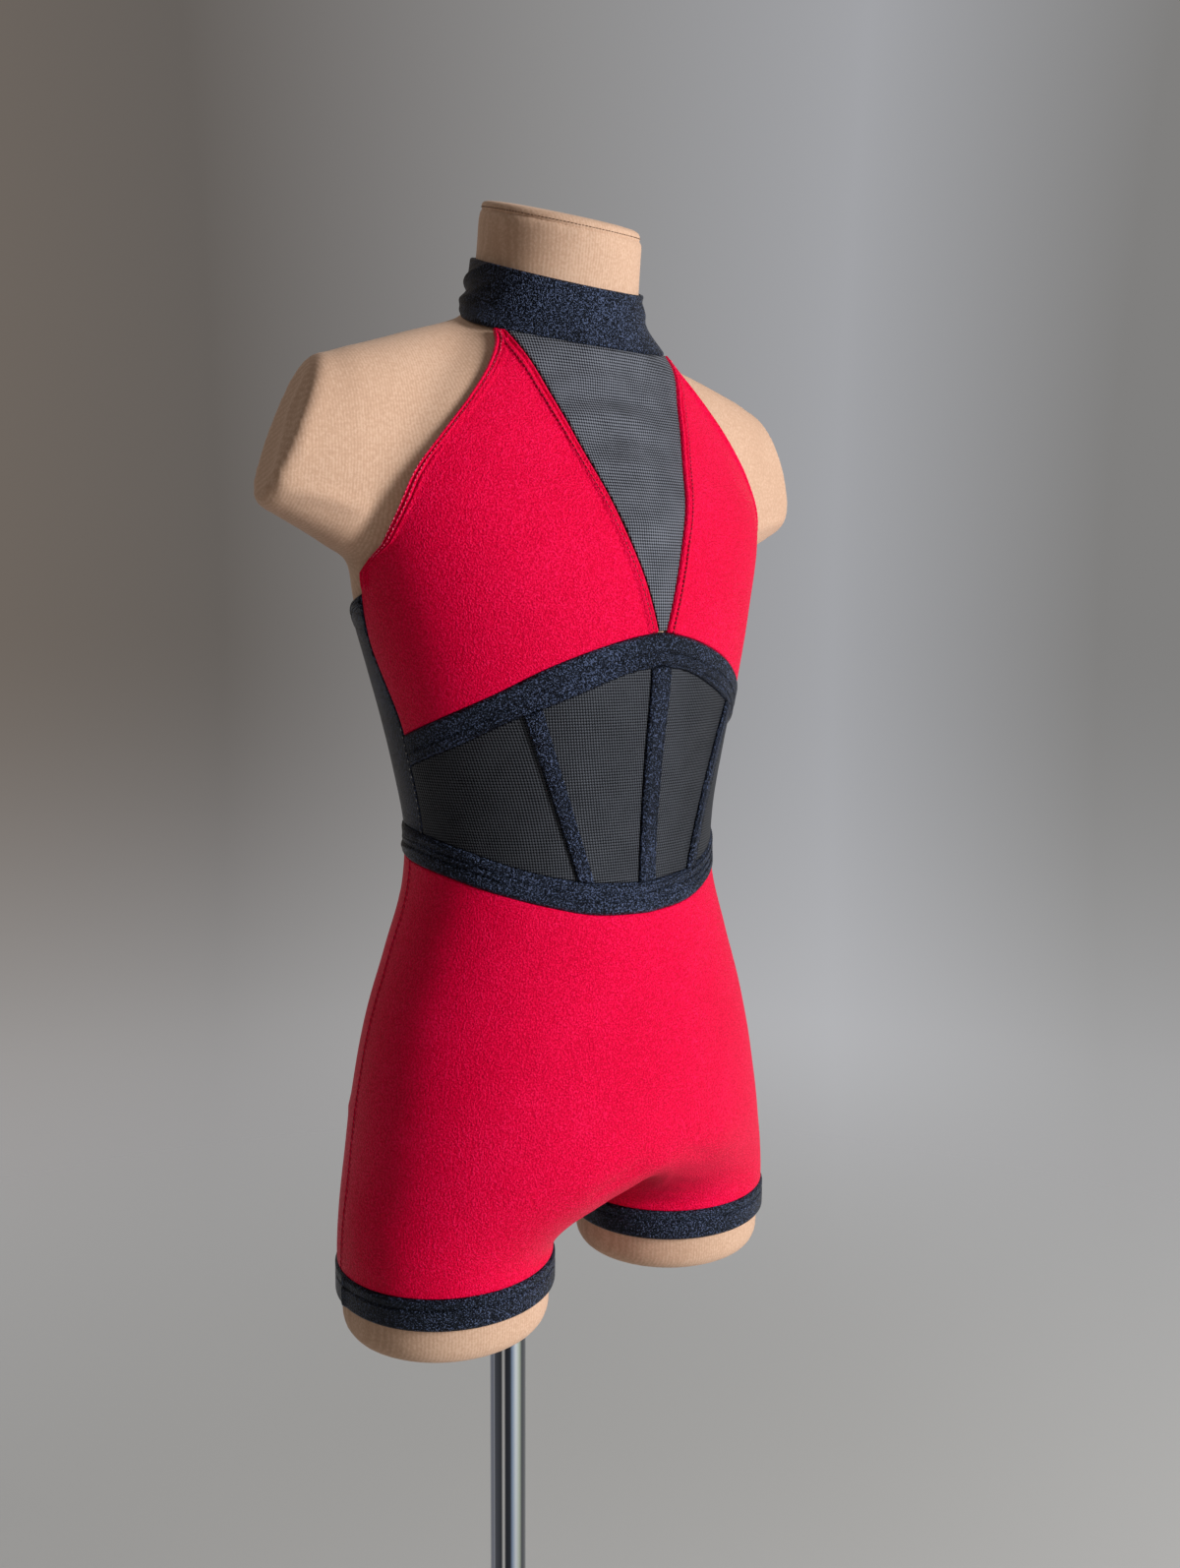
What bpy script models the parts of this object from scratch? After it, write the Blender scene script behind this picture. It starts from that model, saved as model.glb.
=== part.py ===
"""Dance unitard on a limbless dress form.

Sleeveless halter unitard with a stand collar, a mesh V insert, a boned mesh
bodice and short legs, worn by a headless form on a pole.  Sizes are in metres,
+Z is up, the front of the garment faces -Y and the wearer's left is +X.  The
origin is on the floor, on the pole's axis.
"""
import math

import bmesh
import bpy
import numpy as np

# Cloth and seams
CLEARANCE = 0.0012          # between the form and the inside of the cloth
CLOTH_WALL = 0.0013         # nylon and elastane jersey
MESH_WALL = 0.0010          # power mesh
BAND_WALL = 0.0019          # folded cloth over elastic
CHANNEL_WALL = 0.0016       # tape with a flat bone in it
SEAM_GAP = 0.0003           # between two sewn edges
HALF_GAP = SEAM_GAP / 2
BAND_GAP = 0.0006           # at a thick band, where the cloth turns
NECK_GAP = 0.0008           # below the collar, where the cloth turns outwards
SEAM_ANGLE = 0.09           # half of a seam's gap, in degrees around the body
CROTCH_SEAM_SHARE = 0.0009  # half of the crotch seam's gap, as a share of its curve
MERGE_DISTANCE = 0.00005
SHARP_ANGLE = 40.0

# Figure
FIGURE_Y = -0.045           # the middle of the body stands in front of the pole
HIP_HEIGHT = 0.628          # the legs start to part below this height
CROTCH_HEIGHT = 0.603
THIGH_RING_HEIGHT = 0.566   # below this a thigh is straight
THIGH_END_HEIGHT = 0.534     # where the rounded end of a thigh starts
TORSO_COLUMNS = ("height", "half_width", "middle_y", "front", "back")
TORSO_ROWS = (
    (0.582, 0.1390, -0.008, 0.0920, 0.0935),
    (0.620, 0.1370, -0.008, 0.0912, 0.0895),
    (0.657, 0.1313, -0.007, 0.0892, 0.0850),
    (0.695, 0.1228, -0.006, 0.0850, 0.0790),
    (0.732, 0.1104, -0.006, 0.0790, 0.0727),
    (0.770, 0.0986, -0.007, 0.0725, 0.0680),
    (0.802, 0.0975, -0.008, 0.0720, 0.0685),
    (0.845, 0.1060, -0.008, 0.0755, 0.0734),
    (0.887, 0.1172, -0.007, 0.0815, 0.0785),
    (0.930, 0.1285, -0.005, 0.0845, 0.0835),
    (0.960, 0.1345, -0.010, 0.0750, 0.0850),
    (0.980, 0.1355, -0.012, 0.0675, 0.0840),
    (1.000, 0.1305, -0.012, 0.0585, 0.0790),
    (1.020, 0.1205, -0.012, 0.0500, 0.0710),
    (1.040, 0.1105, -0.005, 0.0485, 0.0560),
    (1.060, 0.0870, 0.010, 0.0600, 0.0360),
    (1.070, 0.0745, 0.010, 0.0560, 0.0350),
    (1.082, 0.0570, 0.006, 0.0500, 0.0380),
    (1.095, 0.0505, 0.002, 0.0470, 0.0430),
    (1.112, 0.0470, -0.002, 0.0465, 0.0455),
    (1.144, 0.0462, -0.006, 0.0460, 0.0460),
    (1.160, 0.0462, -0.008, 0.0460, 0.0460),
)
# Each row of the thigh's rounded end: drop, shrink
THIGH_ROUNDING = ((0.0, 0.0), (0.006, 0.02), (0.010, 0.07), (0.012, 0.15))
LEG_X = 0.0862
LEG_Y = -0.0106
LEG_HALF_WIDTH = 0.0588
LEG_FRONT = 0.0572
LEG_BACK = 0.0579
LEG_CORNER_ANGLE = 45.0     # where the front centre line lands on the leg's ring
LEG_EASE = 1.15             # how far the body's slope carries into the leg
CROTCH_EASE = 1.9           # how much further it carries at the crotch
CROTCH_POWER = 2.8          # above 2 the crotch curve is flatter than an ellipse
CORNER_BLEND = 0.08         # share of the crotch curve that eases into the hip ring

# Neck and shoulders of the form
NECK_TOP = 1.1405           # height of the neck's cut at its middle
NECK_SLOPE = 0.29           # the cut falls towards the front
NECK_CAP_HEIGHT = 0.004
# Each row of the cap's side: share of its height, shrink
NECK_CAP_ROUNDING = ((0.0, 0.0), (0.6, 0.0), (1.0, 0.03))
NECK_STRAIGHT = 1.112       # below this height the form's rings are level
SHOULDER_HEIGHT = 1.030     # above this height the form's rings are closer
SHOULDER_COLUMNS = ("x", "middle_y", "height", "half_depth", "half_height", "tilt", "turn")
SHOULDER_ROWS = (
    (0.045, 0.016, 1.0180, 0.036, 0.0680, 0.0, 0.0),
    (0.070, 0.013, 1.0120, 0.038, 0.0660, 0.0, 0.0),
    (0.095, 0.009, 1.0080, 0.038, 0.0630, 2.0, 2.0),
    (0.120, 0.005, 1.0060, 0.035, 0.0590, 8.0, 4.0),
    (0.145, 0.003, 1.0095, 0.030, 0.0500, 15.0, 6.0),
    (0.162, 0.003, 1.0110, 0.026, 0.0435, 20.0, 8.0),
    (0.169, 0.003, 1.0120, 0.024, 0.0410, 22.0, 8.0),
    (0.172, 0.003, 1.0125, 0.021, 0.0375, 23.0, 8.0),
)
SHOULDER_POWER = 2.3        # above 2 a section is squarer than an ellipse
SHOULDER_STEPS = 24

# Seam lines of the unitard, heights by angle: 0 is the front centre, 90 a side
SIDE_SEAM = 88.0
# Each row of the side seam's swing to the back under the arm: height, angle
SIDE_SWING = ((0.860, 88.0), (0.868, 88.6), (0.880, 90.6), (0.894, 93.4), (0.907, 94.6),
              (0.920, 93.4), (0.934, 91.5))
SWING_GAP_ANGLE = 0.05      # widens the gap where the swinging seam has short straight runs
# Each row of a seam line: angle, height
BAND_TOP = ((0, 0.9120), (10, 0.9085), (20, 0.9030), (33, 0.8940), (50, 0.8800),
            (68, 0.8680), (90, 0.8560))
BAND_BOTTOM = ((0, 0.8940), (11, 0.8900), (21, 0.8830), (33, 0.8745), (46, 0.8660),
               (63, 0.8540), (90, 0.8395))
WAIST_TOP = ((0, 0.7750), (20, 0.7775), (35, 0.7820), (50, 0.7885), (70, 0.7975),
             (92, 0.8035), (135, 0.8060), (180, 0.8070))
WAIST_BOTTOM = ((0, 0.7575), (20, 0.7600), (35, 0.7655), (52, 0.7725), (77, 0.7815),
                (105, 0.7865), (140, 0.7880), (180, 0.7885))
BACK_TOP = ((88, 0.9330), (105, 0.9260), (130, 0.9130), (155, 0.9050), (180, 0.9020))
# Each row of a bust edge: height, half of the width between the two sides
V_EDGE = ((0.913, 0.0030), (0.940, 0.0116), (0.980, 0.0268), (1.020, 0.0408),
          (1.045, 0.0492), (1.060, 0.0545), (1.070, 0.0568))
ARMHOLE = ((0.934, 0.1310), (0.952, 0.1315), (0.972, 0.1285), (0.990, 0.1218),
           (1.010, 0.1070), (1.030, 0.0895), (1.050, 0.0722), (1.061, 0.0644),
           (1.070, 0.0606))
UNDERARM_HEIGHT = 0.934
UNDERARM_EASE = 0.020       # above it the armhole leaves the side seam over this height
V_FOOT_HEIGHT = 0.9130      # where the V meets the band
YOKE_FOOT_HEIGHT = 0.9124
YOKE_FOOT_ANGLE = 0.4       # half of the yoke's width at its foot
APEX_HEIGHT = 1.0693        # where both bust edges meet the collar
COLLAR_BOTTOM = 1.0800      # at the side of the neck
COLLAR_BOTTOM_DIP = 0.0170  # how far it falls at the front centre
COLLAR_TOP = 1.1100
COLLAR_TOP_DIP = 0.0145

# Bones
BONE_TOP_X = 0.0690
BONE_BOTTOM_X = 0.0370
BONE_TOP_HEIGHT = 0.868
BONE_BOTTOM_HEIGHT = 0.778
BODICE_MIDDLE = 0.830       # height at which a seam's angle is first read
CHANNEL_WIDTH = 0.0100
CENTRE_CHANNEL_WIDTH = 0.0120

# Shorts and leg bands
LEG_SIDE_ANGLE = 100.0      # side seam on the hip ring
HEM_BAND_HEIGHT = 0.0180
HEM_HEIGHT = 0.545

# Cells of the panels
FRONT_COLUMNS = 12          # from the front centre to the side seam
BACK_COLUMNS = 9            # from the side seam to the back centre
CROTCH_COLUMNS = 6          # along each half of the crotch curve
HIP_ROWS = 9                # from the hip ring to the waistband
LEG_ROWS = 6                # from the hip ring to the leg band
# Each entry: rows, columns; a piece whose columns follow the form's has none here
CELLS = {
    "bust": (15, 11),
    "yoke": (12, 10),
    "collar": (3, 36),
    "underbust_band": (2, 22),
    "waistband": (2, 42),
    "bodice_side": (7, 5),
    "bodice_front": (7, 4),
    "bone_channel": (8, 2),
    "hem_band": (2, 0),
    "form_torso": (22, 0),
    "form_neck": (12, 0),
}

# Shares of the way up at which the back panel has a row, closer where its edge curves
BACK_ROW_SHARES = (0.0, 0.16, 0.32, 0.44, 0.52, 0.59, 0.65, 0.71, 0.77, 0.83, 0.89, 0.945, 1.0)
BACK_PANEL_COLUMNS = 22
EDGE_ROUNDS = 6             # rounds that settle where the edge lies on the slanting row

# Stand
POLE_RADIUS = 0.0115
POLE_TOP = 0.6003           # seated under the crotch of the shorts
SLEEVE_RADIUS = 0.0155
SLEEVE_TOP = 0.560
SLEEVE_LENGTH = 0.030
BASE_RADIUS = 0.170
BASE_HEIGHT = 0.008
BASE_EDGE = 0.0015          # chamfer around the base
HUB_RADIUS = 0.021
HUB_HEIGHT = 0.022
METAL_EDGE = 0.002          # chamfer on the hub and the sleeve
ROUND_STEPS = 40

MATERIALS = {
    "red_spandex": ((0.68, 0.010, 0.045), 0.38, 0.0),
    "black_spandex": ((0.012, 0.014, 0.022), 0.42, 0.0),
    "black_mesh": ((0.055, 0.060, 0.070), 0.65, 0.0),
    "form_jersey": ((0.56, 0.36, 0.22), 0.85, 0.0),
    "chrome": ((0.80, 0.80, 0.82), 0.15, 1.0),
    "base_steel": ((0.70, 0.70, 0.72), 0.30, 1.0),
}


def read_row(columns, values):
    """Name a row's values by the table's columns."""
    return dict(zip(columns, values))


def clear_scene():
    """Remove whatever the scene holds."""
    for item in list(bpy.data.objects):
        bpy.data.objects.remove(item, do_unlink=True)


def make_material(name):
    """Return the named finish, made once."""
    found = bpy.data.materials.get(name)
    if found:
        return found
    colour, roughness, metallic = MATERIALS[name]
    material = bpy.data.materials.new(name)
    material.use_nodes = True
    shader = material.node_tree.nodes["Principled BSDF"]
    shader.inputs["Base Color"].default_value = (*colour, 1.0)
    shader.inputs["Roughness"].default_value = roughness
    shader.inputs["Metallic"].default_value = metallic
    return material


def smooth_value(rows, x):
    """Read a table's columns at x along a smooth curve through its rows."""
    table = np.asarray(rows, float)
    knots, values = table[:, 0], table[:, 1:]
    x = min(max(x, knots[0]), knots[-1])
    i = min(max(int(np.searchsorted(knots, x)) - 1, 0), len(knots) - 2)
    step = knots[i + 1] - knots[i]
    slope = (values[i + 1] - values[i]) / step
    before = (values[i] - values[i - 1]) / (knots[i] - knots[i - 1]) if i else slope
    last = i + 2 >= len(knots)
    after = slope if last else (values[i + 2] - values[i + 1]) / (knots[i + 2] - knots[i + 1])
    start, end = (before + slope) / 2, (slope + after) / 2
    t = (x - knots[i]) / step
    return (values[i] * (1 + 2 * t) * (1 - t) ** 2 + start * step * t * (1 - t) ** 2
            + values[i + 1] * t * t * (3 - 2 * t) + end * step * t * t * (t - 1))


def torso_point(angle, height):
    """Return the point of the form's surface at an angle and a height."""
    ring = read_row(TORSO_COLUMNS[1:], smooth_value(TORSO_ROWS, height))
    turn = math.radians(angle)
    depth = ring["front"] if math.cos(turn) > 0 else ring["back"]
    return np.array((ring["half_width"] * math.sin(turn),
                     FIGURE_Y + ring["middle_y"] - depth * math.cos(turn), height))


def span_angle(half_span, height):
    """Return the angle at which the front of the form is half_span wide."""
    ring = read_row(TORSO_COLUMNS[1:], smooth_value(TORSO_ROWS, height))
    return math.degrees(math.asin(min(1.0, half_span / ring["half_width"])))


def line_height(rows, angle):
    """Read a seam line's height, the same on both sides."""
    folded = abs((angle + 180) % 360 - 180)
    return float(smooth_value(rows, folded)[0])


def collar_height(middle, dip, angle):
    """Return the height of a collar edge, which falls towards the front."""
    return middle - dip * math.cos(math.radians(angle))


def collar_foot(angle):
    """Return the height at which the panels stop below the collar."""
    return collar_height(COLLAR_BOTTOM, COLLAR_BOTTOM_DIP, angle) - NECK_GAP


def side_seam(height):
    """Return the angle of the seam between the bust and the back panel."""
    return float(smooth_value(SIDE_SWING, height)[0])


def armhole_angle(height):
    """Return the angle of the bust panel's outer edge at a height."""
    if height <= UNDERARM_HEIGHT:
        return side_seam(height)
    span = float(smooth_value(ARMHOLE, height)[0])
    reached = span_angle(span, height)
    ease = min(1.0, (height - UNDERARM_HEIGHT) / UNDERARM_EASE)
    return side_seam(height) + (reached - side_seam(height)) * ease


def v_angle(height):
    """Return the angle of the V edge at a height."""
    return span_angle(float(smooth_value(V_EDGE, height)[0]), height)


def bone_angle(height):
    """Return the angle of a side bone's middle at a height."""
    share = (height - BONE_BOTTOM_HEIGHT) / (BONE_TOP_HEIGHT - BONE_BOTTOM_HEIGHT)
    return span_angle(BONE_BOTTOM_X + share * (BONE_TOP_X - BONE_BOTTOM_X), height)


def patch(bottom, top, left, right, rows, columns):
    """Fill four edge curves with a grid of angles and heights, row by row."""
    grid = np.empty((rows + 1, columns + 1, 2))
    corners = [np.array(p) for p in (bottom(0), bottom(1), top(0), top(1))]
    for j in range(rows + 1):
        t = j / rows
        a, b = np.array(left(t)), np.array(right(t))
        for i in range(columns + 1):
            s = i / columns
            flat = ((1 - t) * np.array(bottom(s)) + t * np.array(top(s))
                    + (1 - s) * a + s * b)
            corner = ((1 - s) * (1 - t) * corners[0] + s * (1 - t) * corners[1]
                      + (1 - s) * t * corners[2] + s * t * corners[3])
            grid[j, i] = flat - corner
    return grid


def on_torso(grid):
    """Place a grid of angles and heights on the form."""
    return np.array([[torso_point(a, h) for a, h in row] for row in grid])


def strip(low, high, first, last, rows, columns, low_gap=HALF_GAP):
    """Place a grid between two height curves, from one angle to another."""
    points = []
    for j in range(rows + 1):
        t = j / rows
        line = []
        for i in range(columns + 1):
            angle = first + (last - first) * i / columns
            bottom, top = low(angle) + low_gap, high(angle) - HALF_GAP
            line.append(torso_point(angle, bottom + t * (top - bottom)))
        points.append(line)
    return np.array(points)


def add_grid(mesh, points, closed=False):
    """Add one grid of quads to a bmesh."""
    rows, columns = points.shape[:2]
    verts = [[mesh.verts.new(p) for p in row] for row in points]
    for j in range(rows - 1):
        for i in range(columns if closed else columns - 1):
            k = (i + 1) % columns
            mesh.faces.new((verts[j][i], verts[j][k], verts[j + 1][k], verts[j + 1][i]))
    return verts


def split_quads(mesh):
    """Split the quads the same way in the form and in the cloth over it."""
    bmesh.ops.remove_doubles(mesh, verts=mesh.verts, dist=MERGE_DISTANCE)
    quads = [face for face in mesh.faces if len(face.verts) == 4]
    bmesh.ops.triangulate(mesh, faces=quads, quad_method="SHORT_EDGE")


def face_outwards(mesh, centre_x):
    """Turn a cloth's faces away from the upright line that it wraps."""
    bmesh.ops.recalc_face_normals(mesh, faces=mesh.faces)
    total = 0.0
    for face in mesh.faces:
        middle = face.calc_center_median()
        total += face.calc_area() * (face.normal.x * (middle.x - centre_x)
                                     + face.normal.y * (middle.y - FIGURE_Y))
    if total < 0:
        bmesh.ops.reverse_faces(mesh, faces=mesh.faces)


def add_object(name, mesh, material, collection):
    """Turn a bmesh into a named, smooth shaded object."""
    data = bpy.data.meshes.new(name)
    mesh.to_mesh(data)
    mesh.free()
    data.materials.append(make_material(material))
    data.shade_smooth()
    data.set_sharp_from_angle(angle=math.radians(SHARP_ANGLE))
    item = bpy.data.objects.new(name, data)
    collection.objects.link(item)
    return item


def cloth(name, grids, material, collection, wall, lift=CLEARANCE, closed=False,
          centre_x=0.0):
    """Make one sewn piece: grids on the form, moved out and given a wall."""
    mesh = bmesh.new()
    for points in grids:
        add_grid(mesh, points, closed)
    split_quads(mesh)
    face_outwards(mesh, centre_x)
    mesh.normal_update()
    for vert, normal in [(v, v.normal.copy()) for v in mesh.verts]:
        vert.co += normal * lift
    item = add_object(name, mesh, material, collection)
    wall_maker = item.modifiers.new("wall", "SOLIDIFY")
    wall_maker.thickness = wall
    wall_maker.offset = 1.0
    wall_maker.use_even_offset = True


def crotch_point(share):
    """Return a point of the curve under the body, front centre to back centre."""
    front, back = torso_point(0, HIP_HEIGHT), torso_point(180, HIP_HEIGHT)
    turn = math.pi * (1 - math.cos(math.pi * share)) / 2
    across, down = math.cos(turn), math.sin(turn)
    power = 2 / CROTCH_POWER
    middle, reach = (front[1] + back[1]) / 2, (back[1] - front[1]) / 2
    y = middle - reach * math.copysign(abs(across) ** power, across)
    z = HIP_HEIGHT - (HIP_HEIGHT - CROTCH_HEIGHT) * abs(down) ** power
    return np.array((0.0, y, z))


def hip_normal(angle):
    """Return the direction straight into the form on the hip ring."""
    along = torso_point(angle + 1, HIP_HEIGHT) - torso_point(angle - 1, HIP_HEIGHT)
    down = torso_point(angle, HIP_HEIGHT - 0.004) - torso_point(angle, HIP_HEIGHT + 0.004)
    normal = np.cross(along, down)
    return normal / np.linalg.norm(normal)


def crotch_normal(share):
    """Return the direction straight into the form on the crotch curve."""
    low, high = max(share - 0.01, 0.0), min(share + 0.01, 1.0)
    normal = np.cross((1.0, 0.0, 0.0), crotch_point(high) - crotch_point(low))
    normal /= np.linalg.norm(normal)
    corner = hip_normal(0.0 if share < 0.5 else 180.0)
    if normal.dot(corner) < 0 and min(share, 1 - share) < 0.2:
        normal = -normal
    blend = max(0.0, 1 - min(share, 1 - share) / CORNER_BLEND)
    normal = normal + (corner - normal) * blend
    return normal / np.linalg.norm(normal)


def leg_ring_point(turn_angle, height):
    """Return a point of the thigh's ring; 0 is the front, 90 the outer side."""
    turn = math.radians(turn_angle)
    depth = LEG_FRONT if math.cos(turn) > 0 else LEG_BACK
    return np.array((LEG_X + LEG_HALF_WIDTH * math.sin(turn),
                     FIGURE_Y + LEG_Y - depth * math.cos(turn), height))


def leg_column(kind, value, heights):
    """Return one line down the leg, from the hip ring or the crotch curve.

    Args:
        kind: "ring" for a line that starts on the hip ring, else "crotch".
        value: the angle on the hip ring, or the share along the crotch curve.
        heights: shares of the way down, 0 at the top, 1 where the thigh is straight.
    """
    if kind == "ring":
        start = torso_point(value, HIP_HEIGHT)
        normal = hip_normal(value)
        turn = -LEG_CORNER_ANGLE + value / 180 * (180 + 2 * LEG_CORNER_ANGLE)
    else:
        start = crotch_point(value)
        normal = crotch_normal(value)
        turn = -LEG_CORNER_ANGLE - value * (180 - 2 * LEG_CORNER_ANGLE)
    end = leg_ring_point(turn, THIGH_RING_HEIGHT)
    chord = end - start
    leave = (chord - normal * chord.dot(normal)) * LEG_EASE
    if kind == "crotch":
        leave[0] += chord[0] * CROTCH_EASE * math.sin(math.pi * value)
    arrive = np.array((0.0, 0.0, -abs(chord[2])))
    line = []
    for t in heights:
        if t <= 1:
            line.append(start * (1 + 2 * t) * (1 - t) ** 2 + leave * t * (1 - t) ** 2
                        + end * t * t * (3 - 2 * t) + arrive * t * t * (t - 1))
        else:
            line.append(end + arrive * (t - 1))
    return np.array(line)


def share_at_height(kind, value, height):
    """Return the share of the way down at which a leg line meets a height."""
    low, high = 0.3, 3.0
    for _ in range(26):
        middle = (low + high) / 2
        if leg_column(kind, value, (middle,))[0][2] > height:
            low = middle
        else:
            high = middle
    return (low + high) / 2


def leg_grid(lines, side, top, bottom, rows):
    """Fill the stretch of one leg between two heights.

    Args:
        lines: the (kind, value) pairs of the lines, in order around the leg.
        side: 1 for the wearer's left leg, -1 for the right.
        top: the height of the first row, or None to start at the hip ring.
        bottom: the height of the last row.
        rows: how many cells lie between them.
    """
    columns = []
    for kind, value in lines:
        first = 0.0 if top is None else share_at_height(kind, value, top)
        last = share_at_height(kind, value, bottom)
        columns.append(leg_column(kind, value, np.linspace(first, last, rows + 1)))
    points = np.array(columns).transpose(1, 0, 2)
    points[:, :, 0] *= side
    return points


def half_angles():
    """List the angles of the lines on one side, front centre to back centre."""
    front = [LEG_SIDE_ANGLE * i / FRONT_COLUMNS for i in range(FRONT_COLUMNS)]
    rest = 180 - LEG_SIDE_ANGLE
    return front + [LEG_SIDE_ANGLE + rest * i / BACK_COLUMNS for i in range(BACK_COLUMNS + 1)]


def ring_lines():
    """List the leg's lines that start on the hip ring."""
    return [("ring", angle) for angle in half_angles()]


def crotch_lines():
    """List the leg's lines that start on the crotch curve, back to front."""
    steps = 2 * CROTCH_COLUMNS
    return [("crotch", 1 - i / steps) for i in range(steps + 1)]


def bust(side, collection):
    """Make one red bust panel, from the V edge to the armhole."""
    low_top = collar_foot(v_angle(APEX_HEIGHT))
    high_top = collar_foot(armhole_angle(APEX_HEIGHT))
    low_bottom = line_height(BAND_TOP, v_angle(V_FOOT_HEIGHT)) + HALF_GAP
    high_bottom = line_height(BAND_TOP, SIDE_SEAM) + HALF_GAP

    def bottom(s):
        first, last = v_angle(V_FOOT_HEIGHT) + SEAM_ANGLE, SIDE_SEAM - SEAM_ANGLE
        angle = first + s * (last - first)
        return side * angle, line_height(BAND_TOP, angle) + HALF_GAP

    def top(s):
        first, last = v_angle(low_top) + 3 * SEAM_ANGLE, armhole_angle(high_top)
        return side * (first + s * (last - first)), low_top + s * (high_top - low_top)

    def left(t):
        height = low_bottom + t * (low_top - low_bottom)
        return side * (v_angle(height) + SEAM_ANGLE * (1 + 2 * t)), height

    def right(t):
        height = high_bottom + t * (high_top - high_bottom)
        return side * (armhole_angle(height) - SEAM_ANGLE * (1 - t)), height

    points = on_torso(patch(bottom, top, left, right, *CELLS["bust"]))
    name = "bust_left" if side > 0 else "bust_right"
    cloth(name, [points], "red_spandex", collection, CLOTH_WALL)


def yoke(collection):
    """Make the mesh V insert between the bust panels."""
    edge_top = collar_foot(v_angle(APEX_HEIGHT))

    def side_angle(height):
        return max(v_angle(height) - 3 * SEAM_ANGLE, YOKE_FOOT_ANGLE)

    def bottom(s):
        return (2 * s - 1) * side_angle(YOKE_FOOT_HEIGHT), YOKE_FOOT_HEIGHT

    def top(s):
        angle = (2 * s - 1) * side_angle(edge_top)
        return angle, collar_foot(angle)

    def left(t):
        angle, height = right(t)
        return -angle, height

    def right(t):
        height = YOKE_FOOT_HEIGHT + t * (edge_top - YOKE_FOOT_HEIGHT)
        return side_angle(height), height

    points = on_torso(patch(bottom, top, left, right, *CELLS["yoke"]))
    cloth("yoke_mesh", [points], "black_mesh", collection, MESH_WALL,
          lift=CLEARANCE + SEAM_GAP)


def collar(collection):
    """Make the stand collar, a closed band around the neck."""
    points = strip(lambda a: collar_height(COLLAR_BOTTOM, COLLAR_BOTTOM_DIP, a),
                   lambda a: collar_height(COLLAR_TOP, COLLAR_TOP_DIP, a),
                   0, 360, *CELLS["collar"])[:, :-1]
    cloth("collar", [points], "black_spandex", collection, BAND_WALL, closed=True)


def bands(collection):
    """Make the band under the bust and the waistband."""
    end = SIDE_SEAM - SEAM_ANGLE
    under = strip(lambda a: line_height(BAND_BOTTOM, a), lambda a: line_height(BAND_TOP, a),
                  -end, end, *CELLS["underbust_band"])
    cloth("underbust_band", [under], "black_spandex", collection, BAND_WALL)
    waist = strip(lambda a: line_height(WAIST_BOTTOM, a), lambda a: line_height(WAIST_TOP, a),
                  0, 360, *CELLS["waistband"])[:, :-1]
    cloth("waistband", [waist], "black_spandex", collection, BAND_WALL, closed=True)


def bodice_edges(height_share, angle):
    """Return the height at a share of the way up the mesh bodice."""
    low = line_height(WAIST_TOP, angle) + BAND_GAP
    high = line_height(BAND_BOTTOM, angle) - HALF_GAP
    return low + height_share * (high - low)


def bodice_seam(angle_at, height_share):
    """Return a bodice seam's angle at a share of the way up the mesh."""
    return angle_at(bodice_edges(height_share, angle_at(BODICE_MIDDLE)))


def bodice_panel(name, first, last, panel, collection):
    """Make one mesh panel between two lines given as angle by height."""
    rows, columns = CELLS[panel]
    points = []
    for j in range(rows + 1):
        t = j / rows
        a, b = bodice_seam(first, t) + SEAM_ANGLE, bodice_seam(last, t) - SEAM_ANGLE
        line = []
        for i in range(columns + 1):
            angle = a + (b - a) * i / columns
            line.append(torso_point(angle, bodice_edges(t, angle)))
        points.append(line)
    cloth(name, [np.array(points)], "black_mesh", collection, MESH_WALL)


def bodice(collection):
    """Make the four mesh panels of the boned bodice."""
    side, front = "bodice_side", "bodice_front"
    bodice_panel("bodice_mesh_side_right", lambda h: -SIDE_SEAM, lambda h: -bone_angle(h),
                 side, collection)
    bodice_panel("bodice_mesh_front_right", lambda h: -bone_angle(h), lambda h: 0.0,
                 front, collection)
    bodice_panel("bodice_mesh_front_left", lambda h: 0.0, bone_angle, front, collection)
    bodice_panel("bodice_mesh_side_left", bone_angle, lambda h: SIDE_SEAM, side, collection)


def channel(name, middle, width, collection):
    """Make one bone channel, on the mesh and centred on a seam."""
    rows, columns = CELLS["bone_channel"]
    points = []
    for j in range(rows + 1):
        t = j / rows
        centre = bodice_seam(middle, t)
        half = math.degrees(width / 2 / smooth_value(TORSO_ROWS, BODICE_MIDDLE)[0])
        line = []
        for i in range(columns + 1):
            angle = centre + half * (2 * i / columns - 1)
            line.append(torso_point(angle, bodice_edges(t, angle)))
        points.append(line)
    cloth(name, [np.array(points)], "black_spandex", collection, CHANNEL_WALL,
          lift=CLEARANCE + MESH_WALL + SEAM_GAP)


def channels(collection):
    """Make the three bone channels that show on the bodice."""
    channel("bone_channel_right", lambda h: -bone_angle(h), CHANNEL_WIDTH, collection)
    channel("bone_channel_centre", lambda h: 0.0, CENTRE_CHANNEL_WIDTH, collection)
    channel("bone_channel_left", bone_angle, CHANNEL_WIDTH, collection)


def back_height(share, angle):
    """Return the height at a share of the way up the back panel."""
    low = line_height(WAIST_TOP, angle) + BAND_GAP
    high = line_height(BACK_TOP, angle) - HALF_GAP
    return low + share * (high - low)


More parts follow.
